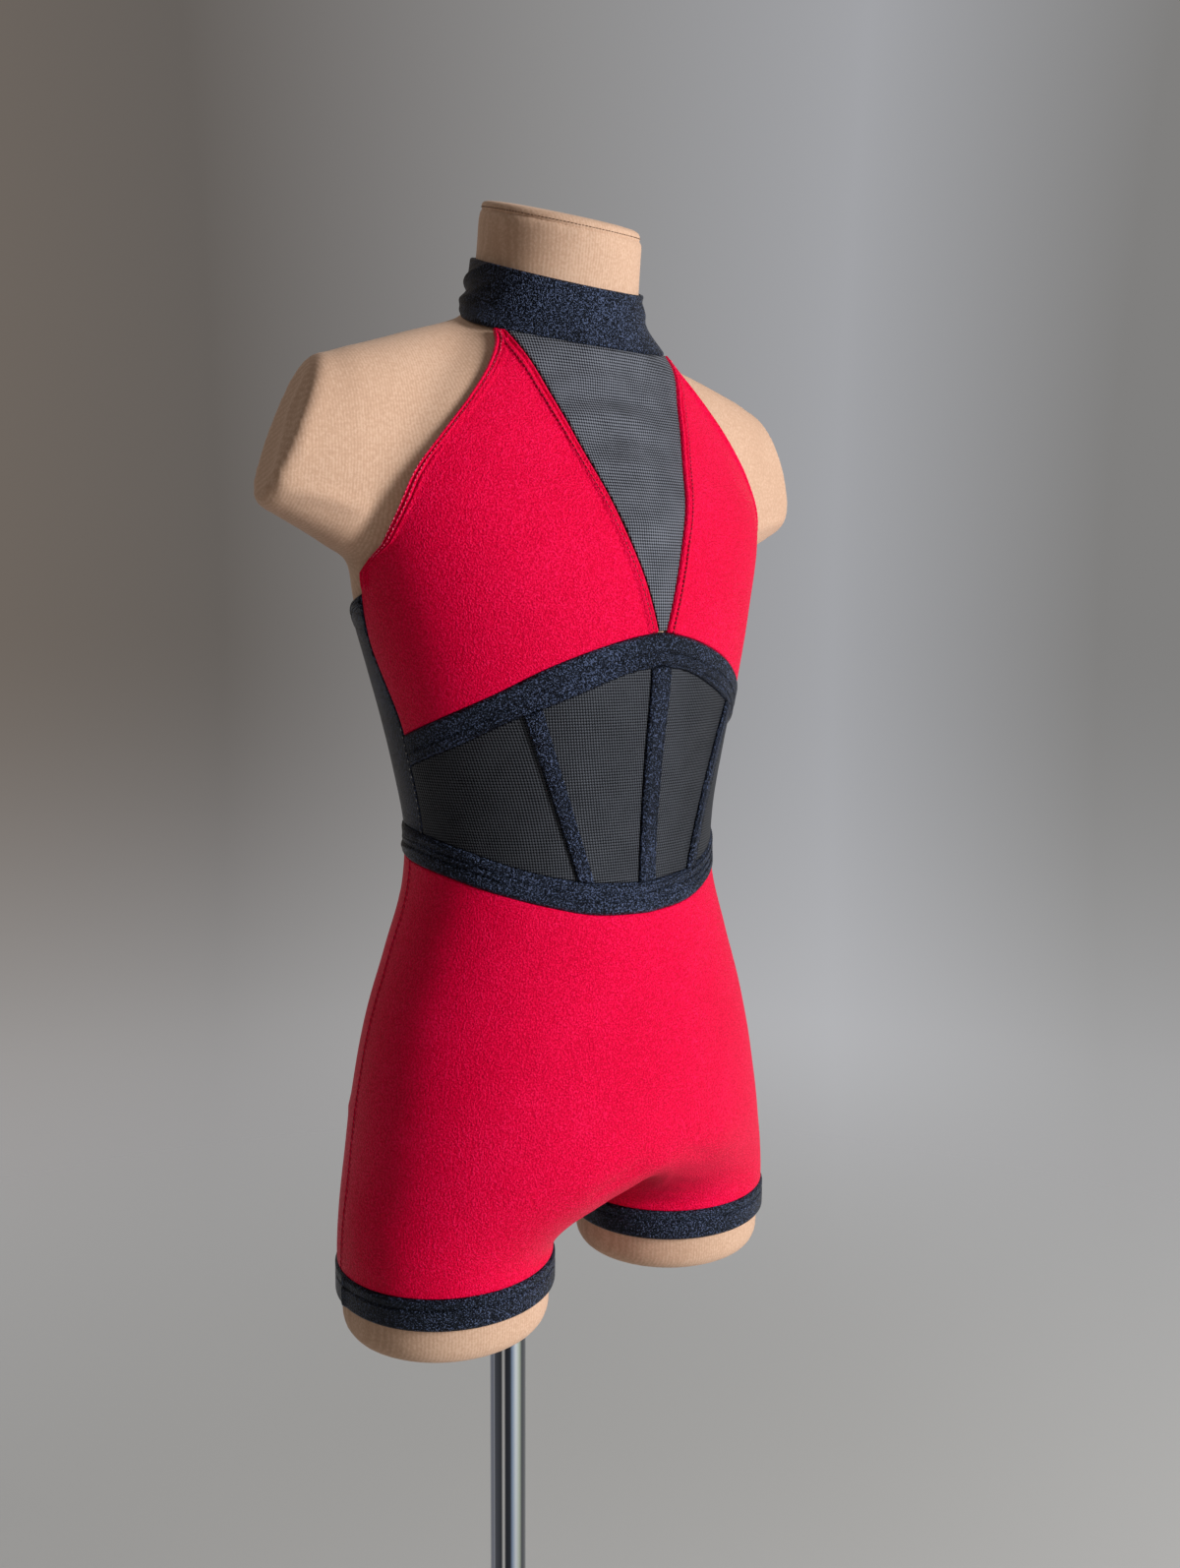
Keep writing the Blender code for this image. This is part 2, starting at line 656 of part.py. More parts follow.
def back_panel(collection):
    """Make the low back panel, from side seam to side seam."""
    points = []
    for share in BACK_ROW_SHARES:
        start = SIDE_SEAM
        for _ in range(EDGE_ROUNDS):
            start = side_seam(back_height(share, start)) + SEAM_ANGLE + SWING_GAP_ANGLE
        angles = np.linspace(start, 360 - start, BACK_PANEL_COLUMNS + 1)
        points.append([torso_point(a, back_height(share, a)) for a in angles])
    cloth("back_panel", [np.array(points)], "black_spandex", collection, CLOTH_WALL)


def shorts(collection):
    """Make the shorts' front and back, each cut on the fold."""
    band_top = HEM_HEIGHT + HEM_BAND_HEIGHT + BAND_GAP

    def hip_grid(first, last, half_columns):
        line = []
        for j in range(HIP_ROWS + 1):
            t = j / HIP_ROWS
            row = []
            for i in range(2 * half_columns + 1):
                angle = first + (last - first) * i / (2 * half_columns)
                top = line_height(WAIST_BOTTOM, angle) - BAND_GAP
                row.append(torso_point(angle, HIP_HEIGHT + t * (top - HIP_HEIGHT)))
            line.append(row)
        return np.array(line)

    def leg_grids(centre, edge, half_columns, share_from, share_to):
        lines = [("ring", edge + (centre - edge) * i / half_columns)
                 for i in range(half_columns + 1)]
        crotch = [("crotch", share_from + (share_to - share_from) * i / CROTCH_COLUMNS)
                  for i in range(CROTCH_COLUMNS + 1)]
        grids = []
        for side in (-1, 1):
            grids.append(leg_grid(lines, side, None, band_top, LEG_ROWS))
            grids.append(leg_grid(crotch, side, None, band_top, LEG_ROWS))
        return grids

    front_edge = LEG_SIDE_ANGLE - SEAM_ANGLE
    back_edge = LEG_SIDE_ANGLE + SEAM_ANGLE
    front = [hip_grid(-front_edge, front_edge, FRONT_COLUMNS)]
    front += leg_grids(0, front_edge, FRONT_COLUMNS, 0.0, 0.5 - CROTCH_SEAM_SHARE)
    back = [hip_grid(back_edge, 360 - back_edge, BACK_COLUMNS)]
    back += leg_grids(180, back_edge, BACK_COLUMNS, 1.0, 0.5 + CROTCH_SEAM_SHARE)
    cloth("shorts_front", front, "red_spandex", collection, CLOTH_WALL)
    cloth("shorts_back", back, "red_spandex", collection, CLOTH_WALL)


def hem_bands(collection):
    """Make the two leg bands, closed rings below the shorts."""
    lines = ring_lines()[:-1] + crotch_lines()[:-1]
    top = HEM_HEIGHT + HEM_BAND_HEIGHT - HALF_GAP
    for side, name in ((-1, "hem_band_right"), (1, "hem_band_left")):
        points = leg_grid(lines, side, top, HEM_HEIGHT, CELLS["hem_band"][0])
        cloth(name, [points], "black_spandex", collection, BAND_WALL, closed=True,
              centre_x=side * LEG_X)


def neck_cut(y):
    """Return the height of the neck's sloping cut at a depth."""
    return NECK_TOP + NECK_SLOPE * (y - FIGURE_Y)


def body_angles():
    """List the angles of the form's lines, all around."""
    half = half_angles()
    return half + [360 - angle for angle in reversed(half[1:-1])]


def neck_ring():
    """Return the rim of the neck's flat, sloping cut."""
    ring = []
    for angle in body_angles():
        point = torso_point(angle, neck_cut(torso_point(angle, NECK_TOP)[1]))
        point[2] = neck_cut(point[1])
        ring.append(point)
    return np.array(ring)


def thigh_grid(lines, side):
    """Return a thigh of the form, from the hip ring to its rounded end."""
    band_top = HEM_HEIGHT + HEM_BAND_HEIGHT
    upper = leg_grid(lines, side, None, band_top, LEG_ROWS)
    lower = leg_grid(lines, side, band_top, THIGH_END_HEIGHT, 2)
    middle = np.array((side * LEG_X, FIGURE_Y + LEG_Y, 0.0))
    ends = []
    for drop, shrink in THIGH_ROUNDING:
        ring_end = middle + (lower[-1] - middle) * (1 - shrink)
        ring_end[:, 2] = THIGH_END_HEIGHT - drop
        ends.append(ring_end)
    return np.concatenate([upper, lower[1:-1], np.array(ends)])


def form_body(collection):
    """Make the form: torso, neck stump and two thigh stumps in one body."""
    angles = body_angles()
    torso_rows, neck_rows = CELLS["form_torso"][0], CELLS["form_neck"][0]
    heights = np.concatenate([np.linspace(HIP_HEIGHT, SHOULDER_HEIGHT, torso_rows + 1),
                              np.linspace(SHOULDER_HEIGHT, NECK_STRAIGHT, neck_rows + 1)[1:]])
    rings = [[torso_point(a, h) for a in angles] for h in heights]
    rim = neck_ring()
    rings.append([torso_point(a, (NECK_STRAIGHT + p[2]) / 2) for a, p in zip(angles, rim)])
    rings.append(rim)
    mesh = bmesh.new()
    verts = add_grid(mesh, np.array(rings), closed=True)
    mesh.faces.new(verts[-1])
    for side in (-1, 1):
        outer = add_grid(mesh, thigh_grid(ring_lines(), side))[-1]
        inner = add_grid(mesh, thigh_grid(crotch_lines(), side))[-1]
        mesh.faces.new(outer + inner[1:-1])
    split_quads(mesh)
    bmesh.ops.recalc_face_normals(mesh, faces=mesh.faces)
    return add_object("form_body", mesh, "form_jersey", collection)


def shoulder_ring(row, side):
    """Return one section of the shoulder stumps."""
    section = read_row(SHOULDER_COLUMNS, row)
    tilt, turn = math.radians(section["tilt"]), math.radians(section["turn"])
    middle = np.array((section["x"], FIGURE_Y + section["middle_y"], section["height"]))
    up = np.array((-math.sin(tilt), 0.0, math.cos(tilt)))
    across = np.array((-math.sin(turn), math.cos(turn), 0.0))
    ring = []
    for i in range(SHOULDER_STEPS):
        angle = 2 * math.pi * i / SHOULDER_STEPS
        c, s = math.cos(angle), math.sin(angle)
        depth = section["half_depth"] * math.copysign(abs(c) ** (2 / SHOULDER_POWER), c)
        rise = section["half_height"] * math.copysign(abs(s) ** (2 / SHOULDER_POWER), s)
        ring.append((middle + across * depth + up * rise) * np.array((side, 1, 1)))
    return ring


def shoulders(collection):
    """Make the closed bar through both shoulder stumps."""
    rings = [shoulder_ring(row, -1) for row in reversed(SHOULDER_ROWS)]
    rings += [shoulder_ring(row, 1) for row in SHOULDER_ROWS]
    mesh = bmesh.new()
    verts = add_grid(mesh, np.array(rings), closed=True)
    mesh.faces.new(verts[0])
    mesh.faces.new(verts[-1])
    bmesh.ops.recalc_face_normals(mesh, faces=mesh.faces)
    item = add_object("shoulder_bar", mesh, "form_jersey", collection)
    item.hide_render = True
    item.display_type = "WIRE"
    return item


def form(collection, cutters):
    """Make the dress form: body with shoulder stumps, and the neck's cap."""
    body = form_body(collection)
    join = body.modifiers.new("shoulders", "BOOLEAN")
    join.operation = "UNION"
    join.object = shoulders(cutters)

    rim = neck_ring()
    middle = rim.mean(axis=0)
    mesh = bmesh.new()
    rings = []
    for share, shrink in NECK_CAP_ROUNDING:
        lift = np.array((0.0, 0.0, SEAM_GAP + share * NECK_CAP_HEIGHT))
        rings.append(middle + (rim - middle) * (1 - shrink) + lift)
    verts = add_grid(mesh, np.array(rings), closed=True)
    mesh.faces.new(verts[0])
    mesh.faces.new(verts[-1])
    bmesh.ops.recalc_face_normals(mesh, faces=mesh.faces)
    add_object("neck_cap", mesh, "form_jersey", collection)


def turned(name, profile, material, collection):
    """Make a turned piece on the pole's axis from (radius, height) points."""
    data = bpy.data.meshes.new(name)
    points = [(radius, 0.0, height) for radius, height in profile]
    data.from_pydata(points, [(i, i + 1) for i in range(len(points) - 1)], [])
    data.materials.append(make_material(material))
    item = bpy.data.objects.new(name, data)
    collection.objects.link(item)
    screw = item.modifiers.new("turn", "SCREW")
    screw.steps = ROUND_STEPS
    screw.render_steps = ROUND_STEPS
    screw.use_merge_vertices = True
    screw.merge_threshold = MERGE_DISTANCE


def stand(collection):
    """Make the base disc, the pole and the sleeve under the form."""
    turned("base", [(0, BASE_HEIGHT), (BASE_RADIUS - BASE_EDGE, BASE_HEIGHT),
                    (BASE_RADIUS, BASE_HEIGHT - BASE_EDGE), (BASE_RADIUS, 0), (0, 0)],
           "base_steel", collection)
    foot = BASE_HEIGHT + SEAM_GAP
    hub_top = foot + HUB_HEIGHT
    turned("pole", [(0, POLE_TOP), (POLE_RADIUS, POLE_TOP), (POLE_RADIUS, hub_top),
                    (HUB_RADIUS - METAL_EDGE, hub_top), (HUB_RADIUS, hub_top - METAL_EDGE),
                    (HUB_RADIUS, foot), (0, foot)],
           "chrome", collection)
    inner = POLE_RADIUS + SEAM_GAP
    bottom = SLEEVE_TOP - SLEEVE_LENGTH
    turned("pole_sleeve", [(inner, SLEEVE_TOP), (SLEEVE_RADIUS - METAL_EDGE, SLEEVE_TOP),
                           (SLEEVE_RADIUS, SLEEVE_TOP - METAL_EDGE),
                           (SLEEVE_RADIUS, bottom + METAL_EDGE),
                           (SLEEVE_RADIUS - METAL_EDGE, bottom),
                           (inner, bottom), (inner, SLEEVE_TOP)],
           "chrome", collection)


def new_collection(name):
    """Link a new collection to the scene."""
    collection = bpy.data.collections.new(name)
    bpy.context.scene.collection.children.link(collection)
    return collection


def main():
    """Build the unitard, the form and the stand."""
    clear_scene()
    pieces = new_collection("dance_unitard_on_dress_form")
    cutters = new_collection("cutters")
    form(pieces, cutters)
    stand(pieces)
    collar(pieces)
    yoke(pieces)
    bust(-1, pieces)
    bust(1, pieces)
    bands(pieces)
    bodice(pieces)
    channels(pieces)
    back_panel(pieces)
    shorts(pieces)
    hem_bands(pieces)


if __name__ == "__main__":
    main()
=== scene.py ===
"""Finished look of a halter dance unitard on a limbless dress form.

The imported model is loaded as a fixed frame, and every sewn piece, the form and
the stand are made again with their real cloth, seams and stitches.  Sizes are
in metres, +Z is up, the front of the garment faces -Y and the wearer's left is
+X.  The origin is on the floor, on the pole's axis.
"""
from __future__ import annotations

import logging
import math
from dataclasses import dataclass, field
from enum import Enum
from typing import Any, Callable, Optional, Sequence

import bmesh
import bpy
import numpy as np
from mathutils import Matrix, Vector
from mathutils.bvhtree import BVHTree


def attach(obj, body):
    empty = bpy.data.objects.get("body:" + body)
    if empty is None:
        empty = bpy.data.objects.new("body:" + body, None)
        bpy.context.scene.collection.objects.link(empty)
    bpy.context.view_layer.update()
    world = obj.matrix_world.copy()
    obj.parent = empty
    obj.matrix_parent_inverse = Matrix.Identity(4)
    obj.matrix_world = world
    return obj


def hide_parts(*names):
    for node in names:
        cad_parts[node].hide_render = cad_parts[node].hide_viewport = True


LOG = logging.getLogger("unitard")
BODY = "root"
FIGURE_Y = -0.045           # the middle of the body stands in front of the pole
MERGE_DISTANCE = 0.00002
CLEARANCE = 0.0012          # between the form and the inside of the cloth
EDGE_SHARE = 0.3            # of a wall's thickness, the least at a rounded edge or a trough
GROOVE_SHARE = 1.2          # of a hem's rise, the depth of the groove that its stitches pull
GROOVE_WIDTH = 0.00065
OFF_SURFACE_SHARE = 0.75    # of a gap square to the surface, which a crease leaves out
# Distances in from an open edge at which its rounding and its hem get points
EDGE_STEPS = (0.0, 0.00025, 0.0006, 0.0010, 0.0014, 0.0018, 0.0022, 0.0026, 0.0030, 0.0034,
              0.0038, 0.0042, 0.0046, 0.0050, 0.0054, 0.0058, 0.0062, 0.0067, 0.0074, 0.0084)

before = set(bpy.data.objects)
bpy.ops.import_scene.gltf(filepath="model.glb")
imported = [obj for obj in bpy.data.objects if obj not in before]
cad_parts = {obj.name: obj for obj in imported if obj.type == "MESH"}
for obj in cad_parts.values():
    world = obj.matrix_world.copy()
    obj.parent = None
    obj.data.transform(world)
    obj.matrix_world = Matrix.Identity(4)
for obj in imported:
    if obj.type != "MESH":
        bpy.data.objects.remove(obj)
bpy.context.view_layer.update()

Array = np.ndarray
Rows = tuple[tuple[float, ...], ...]


class Side(Enum):
    """The four sides of a grid of cloth."""

    LEFT = "left"
    RIGHT = "right"
    BOTTOM = "bottom"
    TOP = "top"


class Start(Enum):
    """Where a line down the leg starts."""

    HIP_RING = "hip ring"
    CROTCH = "crotch"


Relief = Callable[[dict[Side, Array]], Array]


# Numbers and tables


def smooth_step(low: float, high: float, x: Any) -> Any:
    """Return 0 below low, 1 above high and a smooth ramp between them."""
    t = np.clip((np.asarray(x, float) - low) / (high - low), 0.0, 1.0)
    return t * t * (3 - 2 * t)


class SmoothTable:
    """Rows of values that are read along a smooth curve."""

    def __init__(self, rows: Sequence[Sequence[float]]) -> None:
        """Keep the rows and the slope of the curve at each.

        Args:
            rows: the position of a row and then its values.
        """
        table = np.asarray(rows, float)
        self.knots, self.values = table[:, 0], table[:, 1:]
        slopes = np.diff(self.values, axis=0) / np.diff(self.knots)[:, None]
        self.slopes = np.vstack([slopes[:1], (slopes[:-1] + slopes[1:]) / 2, slopes[-1:]])

    def __call__(self, x: Any) -> Array:
        """Return the values at x, in a last axis of their own."""
        x = np.clip(np.asarray(x, float), self.knots[0], self.knots[-1])
        i = np.clip(np.searchsorted(self.knots, x) - 1, 0, len(self.knots) - 2)
        step = (self.knots[i + 1] - self.knots[i])[..., None]
        t = (x - self.knots[i])[..., None] / step
        return (self.values[i] * (1 + 2 * t) * (1 - t) ** 2
                + self.slopes[i] * step * t * (1 - t) ** 2
                + self.values[i + 1] * t * t * (3 - 2 * t)
                + self.slopes[i + 1] * step * t * t * (t - 1))


def spaced(length: float, step: float, fine_start: bool, fine_end: bool) -> Array:
    """Return shares of a length, closer together near an open edge.

    Args:
        length: the length in metres that the shares run along.
        step: the distance between shares away from the edges.
        fine_start: True if the first end is an open edge.
        fine_end: True if the last end is one.

    Returns:
        The shares, from 0 to 1.
    """
    fine = [d for d in EDGE_STEPS if d < length * 0.3]
    first = fine if fine_start else [0.0]
    last = [length - d for d in reversed(fine)] if fine_end else [length]
    count = max(2, round((last[0] - first[-1]) / step))
    middle = np.linspace(first[-1], last[0], count + 1)[1:-1]
    return np.concatenate([first, middle, last]) / length


# The dress form's surface and the seam lines on it


@dataclass
class Torso:
    """The form from the hips to the neck, as rings that a height picks."""

    # Each ring: height, half width, y of its middle, depth before it, depth behind it
    rows: Rows = (
        (0.582, 0.1390, -0.008, 0.0920, 0.0935),
        (0.620, 0.1370, -0.008, 0.0912, 0.0895),
        (0.657, 0.1313, -0.007, 0.0892, 0.0850),
        (0.695, 0.1228, -0.006, 0.0850, 0.0790),
        (0.732, 0.1104, -0.006, 0.0790, 0.0727),
        (0.770, 0.0986, -0.007, 0.0725, 0.0680),
        (0.802, 0.0975, -0.008, 0.0720, 0.0685),
        (0.845, 0.1060, -0.008, 0.0755, 0.0734),
        (0.887, 0.1172, -0.007, 0.0815, 0.0785),
        (0.930, 0.1285, -0.005, 0.0845, 0.0835),
        (0.960, 0.1345, -0.010, 0.0750, 0.0850),
        (0.980, 0.1355, -0.012, 0.0675, 0.0840),
        (1.000, 0.1305, -0.012, 0.0585, 0.0790),
        (1.020, 0.1205, -0.012, 0.0500, 0.0710),
        (1.040, 0.1105, -0.005, 0.0485, 0.0560),
        (1.060, 0.0870, 0.010, 0.0600, 0.0360),
        (1.070, 0.0745, 0.010, 0.0560, 0.0350),
        (1.082, 0.0570, 0.006, 0.0500, 0.0380),
        (1.095, 0.0505, 0.002, 0.0470, 0.0430),
        (1.112, 0.0470, -0.002, 0.0465, 0.0455),
        (1.144, 0.0462, -0.006, 0.0460, 0.0460),
        (1.160, 0.0462, -0.008, 0.0460, 0.0460),
    )
    hip_height: float = 0.628       # the legs start to part below this height
    neck_straight: float = 1.112    # below this height the rings are level
    neck_top: float = 1.1405        # height of the neck's cut at its middle
    neck_slope: float = 0.29        # the cut falls towards the front

    def __post_init__(self) -> None:
        """Make the smooth table."""
        self.table = SmoothTable(self.rows)

    def half_width(self, height: Any) -> Array:
        """Return half of a ring's width."""
        return self.table(height)[..., 0]

    def point(self, angle: Any, height: Any) -> Array:
        """Return the surface's points at angles and heights.

        Args:
            angle: degrees around the body, 0 at the front centre, 90 at its left.
            height: metres above the floor.

        Returns:
            The points, in a last axis of their own.
        """
        angle, height = np.broadcast_arrays(np.asarray(angle, float), np.asarray(height, float))
        half_width, middle_y, front, back = np.moveaxis(self.table(height), -1, 0)
        turn = np.radians(angle)
        depth = np.where(np.cos(turn) > 0, front, back)
        return np.stack([half_width * np.sin(turn),
                         FIGURE_Y + middle_y - depth * np.cos(turn), height], axis=-1)

    def span_angle(self, half_span: Any, height: Any) -> Array:
        """Return the angle at which the front is half_span from the middle."""
        share = np.asarray(half_span, float) / self.half_width(height)
        return np.degrees(np.arcsin(np.minimum(1.0, share)))

    def neck_ring(self, angles: Array) -> Array:
        """Return the rim of the neck's flat, sloping cut."""
        level = self.point(angles, self.neck_top)[:, 1]
        ring = self.point(angles, self.neck_top + self.neck_slope * (level - FIGURE_Y))
        ring[:, 2] = self.neck_top + self.neck_slope * (ring[:, 1] - FIGURE_Y)
        return ring


@dataclass
class SeamLines:
    """Where the unitard's seams lie on the form."""

    torso: Torso
    side_seam: float = 88.0
    # Each row of the side seam's swing to the back under the arm: height, angle
    swing_rows: tuple = ((0.860, 88.0), (0.868, 88.6), (0.880, 90.6), (0.894, 93.4),
                         (0.907, 94.6), (0.920, 93.4), (0.934, 91.5))
    underarm: float = 0.934
    underarm_ease: float = 0.020
    v_foot: float = 0.9130
    apex: float = 1.0693
    collar_bottom: float = 1.0800
    collar_bottom_dip: float = 0.0170
    collar_top: float = 1.1100
    collar_top_dip: float = 0.0145
    neck_gap: float = 0.0008
    bone_top_x: float = 0.0690
    bone_bottom_x: float = 0.0370
    bone_top: float = 0.868
    bone_bottom: float = 0.778
    hem_height: float = 0.545
    hem_tall: float = 0.0180
    # Each row of a seam line: angle, height
    band_top_rows: tuple = ((0, 0.9120), (10, 0.9085), (20, 0.9030), (33, 0.8940),
                            (50, 0.8800), (68, 0.8680), (90, 0.8560))
    band_bottom_rows: tuple = ((0, 0.8940), (11, 0.8900), (21, 0.8830), (33, 0.8745),
                               (46, 0.8660), (63, 0.8540), (90, 0.8395))
    waist_top_rows: tuple = ((0, 0.7750), (20, 0.7775), (35, 0.7820), (50, 0.7885),
                             (70, 0.7975), (92, 0.8035), (135, 0.8060), (180, 0.8070))
    waist_bottom_rows: tuple = ((0, 0.7575), (20, 0.7600), (35, 0.7655), (52, 0.7725),
                                (77, 0.7815), (105, 0.7865), (140, 0.7880), (180, 0.7885))
    back_top_rows: tuple = ((88, 0.9330), (105, 0.9260), (130, 0.9130), (155, 0.9050),
                            (180, 0.9020))
    # Each row of a bust edge: height, half of the width between the two sides
    v_rows: tuple = ((0.913, 0.0030), (0.940, 0.0116), (0.980, 0.0268), (1.020, 0.0408),
                     (1.045, 0.0492), (1.060, 0.0545), (1.070, 0.0568))
    armhole_rows: tuple = ((0.934, 0.1310), (0.952, 0.1315), (0.972, 0.1285),
                           (0.990, 0.1218), (1.010, 0.1070), (1.030, 0.0895),
                           (1.050, 0.0722), (1.061, 0.0644), (1.070, 0.0606))

    def __post_init__(self) -> None:
        """Make the smooth tables."""
        self.tables = {name: SmoothTable(getattr(self, name + "_rows")) for name in
                       ("band_top", "band_bottom", "waist_top", "waist_bottom", "back_top",
                        "v", "armhole", "swing")}

    def height(self, line: str, angle: Any) -> Array:
        """Return a seam line's height, the same on both sides."""
        folded = np.abs((np.asarray(angle, float) + 180) % 360 - 180)
        return self.tables[line](folded)[..., 0]

    def collar_edge(self, middle: float, dip: float, angle: Any) -> Array:
        """Return the height of a collar edge, which falls towards the front."""
        return middle - dip * np.cos(np.radians(angle))

    def collar_foot(self, angle: Any) -> Array:
        """Return the height at which the panels stop below the collar."""
        return self.collar_edge(self.collar_bottom, self.collar_bottom_dip, angle) - self.neck_gap

    def v_angle(self, height: Any) -> Array:
        """Return the angle of the V edge at a height."""
        return self.torso.span_angle(self.tables["v"](height)[..., 0], height)

    def armhole_angle(self, height: Any) -> Array:
        """Return the angle of the bust panel's outer edge at a height."""
        height = np.asarray(height, float)
        side = self.tables["swing"](height)[..., 0]
        reached = self.torso.span_angle(self.tables["armhole"](height)[..., 0], height)
        ease = np.clip((height - self.underarm) / self.underarm_ease, 0.0, 1.0)
        return side + (reached - side) * ease

    def bone_angle(self, height: Any) -> Array:
        """Return the angle of a side bone's middle at a height."""
        share = (np.asarray(height, float) - self.bone_bottom) / (self.bone_top - self.bone_bottom)
        span = self.bone_bottom_x + share * (self.bone_top_x - self.bone_bottom_x)
        return self.torso.span_angle(span, height)


@dataclass
class Legs:
    """The form's thighs, as lines from the hips and the crotch downwards."""

    torso: Torso
    crotch_height: float = 0.603
    ring_height: float = 0.566      # below this a thigh is straight
    end_height: float = 0.534       # where the rounded end of a thigh starts
    x: float = 0.0862
    y: float = -0.0106
    half_width: float = 0.0588
    front: float = 0.0572
    back: float = 0.0579
    corner_angle: float = 45.0
    ease: float = 1.15
    crotch_ease: float = 1.9
    crotch_power: float = 2.8
    corner_blend: float = 0.08
    side_angle: float = 100.0
    crotch_seam_share: float = 0.0009
    # Each row of the rounded end: drop, shrink
    rounding: tuple = ((0.0, 0.0), (0.002, 0.002), (0.004, 0.008), (0.006, 0.02),
                       (0.008, 0.040), (0.010, 0.07), (0.0113, 0.11), (0.012, 0.16))

    def crotch_point(self, share: Any) -> Array:
        """Return points of the curve under the body, front to back."""
        top = self.torso.hip_height
        front, back = self.torso.point([0.0, 180.0], top)[:, 1]
        turn = math.pi * (1 - np.cos(math.pi * np.asarray(share, float))) / 2
        across, down = np.cos(turn), np.sin(turn)
        power = 2 / self.crotch_power
        y = (front + back) / 2 - (back - front) / 2 * np.sign(across) * np.abs(across) ** power
        z = top - (top - self.crotch_height) * np.abs(down) ** power
        return np.stack([np.zeros_like(y), y, z], axis=-1)

    def hip_normal(self, angle: float) -> Array:
        """Return the direction straight into the form on the hip ring."""
        top = self.torso.hip_height
        along = self.torso.point(angle + 1, top) - self.torso.point(angle - 1, top)
        down = self.torso.point(angle, top - 0.004) - self.torso.point(angle, top + 0.004)
        normal = np.cross(along, down)
        return normal / np.linalg.norm(normal)

    def crotch_normal(self, share: float) -> Array:
        """Return the direction straight into the form on the crotch curve."""
        low, high = max(share - 0.01, 0.0), min(share + 0.01, 1.0)
        normal = np.cross((1.0, 0.0, 0.0), self.crotch_point(high) - self.crotch_point(low))
        normal /= np.linalg.norm(normal)
        corner = self.hip_normal(0.0 if share < 0.5 else 180.0)
        if normal.dot(corner) < 0 and min(share, 1 - share) < 0.2:
            normal = -normal
        blend = max(0.0, 1 - min(share, 1 - share) / self.corner_blend)
        normal = normal + (corner - normal) * blend
        return normal / np.linalg.norm(normal)

    def ring_point(self, turn_angle: float, height: float) -> Array:
        """Return a point of the thigh's ring; 0 is the front, 90 the outer side."""
        turn = math.radians(turn_angle)
        depth = self.front if math.cos(turn) > 0 else self.back
        return np.array((self.x + self.half_width * math.sin(turn),
                         FIGURE_Y + self.y - depth * math.cos(turn), height))

    def column(self, start: Start, value: float, shares: Array) -> Array:
        """Return one line down the leg.

        Args:
            start: the curve that the line starts on.
            value: the angle on the hip ring, or the share along the crotch curve.
            shares: shares of the way down, 0 at the top, 1 where the thigh is straight.

        Returns:
            The points of the line.
        """
        if start is Start.HIP_RING:
            top, normal = self.torso.point(value, self.torso.hip_height), self.hip_normal(value)
            turn = -self.corner_angle + value / 180 * (180 + 2 * self.corner_angle)
        else:
            top, normal = self.crotch_point(value), self.crotch_normal(value)
            turn = -self.corner_angle - value * (180 - 2 * self.corner_angle)
        end = self.ring_point(turn, self.ring_height)
        chord = end - top
        leave = (chord - normal * chord.dot(normal)) * self.ease
        if start is Start.CROTCH:
            leave[0] += chord[0] * self.crotch_ease * math.sin(math.pi * value)
        arrive = np.array((0.0, 0.0, -abs(chord[2])))
        t = np.asarray(shares, float)[:, None]
        curve = (top * (1 + 2 * t) * (1 - t) ** 2 + leave * t * (1 - t) ** 2
                 + end * t * t * (3 - 2 * t) + arrive * t * t * (t - 1))
        return np.where(t <= 1, curve, end + arrive * (t - 1))

    def grid(self, lines: Sequence[tuple[Start, float]], side: int, top: Optional[float],
             bottom: float, shares: Array) -> Array:
        """Fill the stretch of one leg between two heights.

        Args:
            lines: the start and value of each line, in order around the leg.
            side: 1 for the wearer's left leg, -1 for the right.
            top: the height of the first row, or None to start at the hips.
            bottom: the height of the last row.
            shares: where the rows lie between them.

        Returns:
            The points, row by row.
        """
        probe = np.linspace(0.0, 3.0, 901)
        columns = []
        for start, value in lines:
            heights = self.column(start, value, probe)[:, 2]
            first = 0.0 if top is None else float(np.interp(-top, -heights, probe))
            last = float(np.interp(-bottom, -heights, probe))
            columns.append(self.column(start, value, first + (last - first) * shares))
        points = np.array(columns).transpose(1, 0, 2)
        points[:, :, 0] *= side
        return points


# Finishes


def srgb(code: str) -> tuple[float, float, float, float]:
    """Turn an sRGB hex code into a linear colour."""
    values = [int(code[i:i + 2], 16) / 255 for i in (1, 3, 5)]
    linear = [v / 12.92 if v <= 0.04045 else ((v + 0.055) / 1.055) ** 2.4 for v in values]
    return (*linear, 1.0)


def connect(tree: bpy.types.NodeTree, node: bpy.types.Node, inputs: dict) -> None:
    """Set a node's inputs to values, or link them where a socket is given.

    Args:
        tree: the tree that the node is in.
        node: the node.
        inputs: the value or socket for each input, by its name or number.
    """
    for name, value in inputs.items():
        if isinstance(value, bpy.types.NodeSocket):
            tree.links.new(value, node.inputs[name])
        else:
            node.inputs[name].default_value = value


def add_node(tree: bpy.types.NodeTree, kind: str, inputs: Optional[dict] = None,
             **settings: Any) -> bpy.types.Node:
    """Add a node with its settings, values and links.

    Args:
        tree: the tree that it goes into.
        kind: the node's type.
        inputs: values or sockets to link from, by the input's name or number.
        settings: the node's own settings.

    Returns:
        The node.
    """
    node = tree.nodes.new(kind)
    for name, value in settings.items():
        setattr(node, name, value)
    connect(tree, node, inputs or {})
    return node


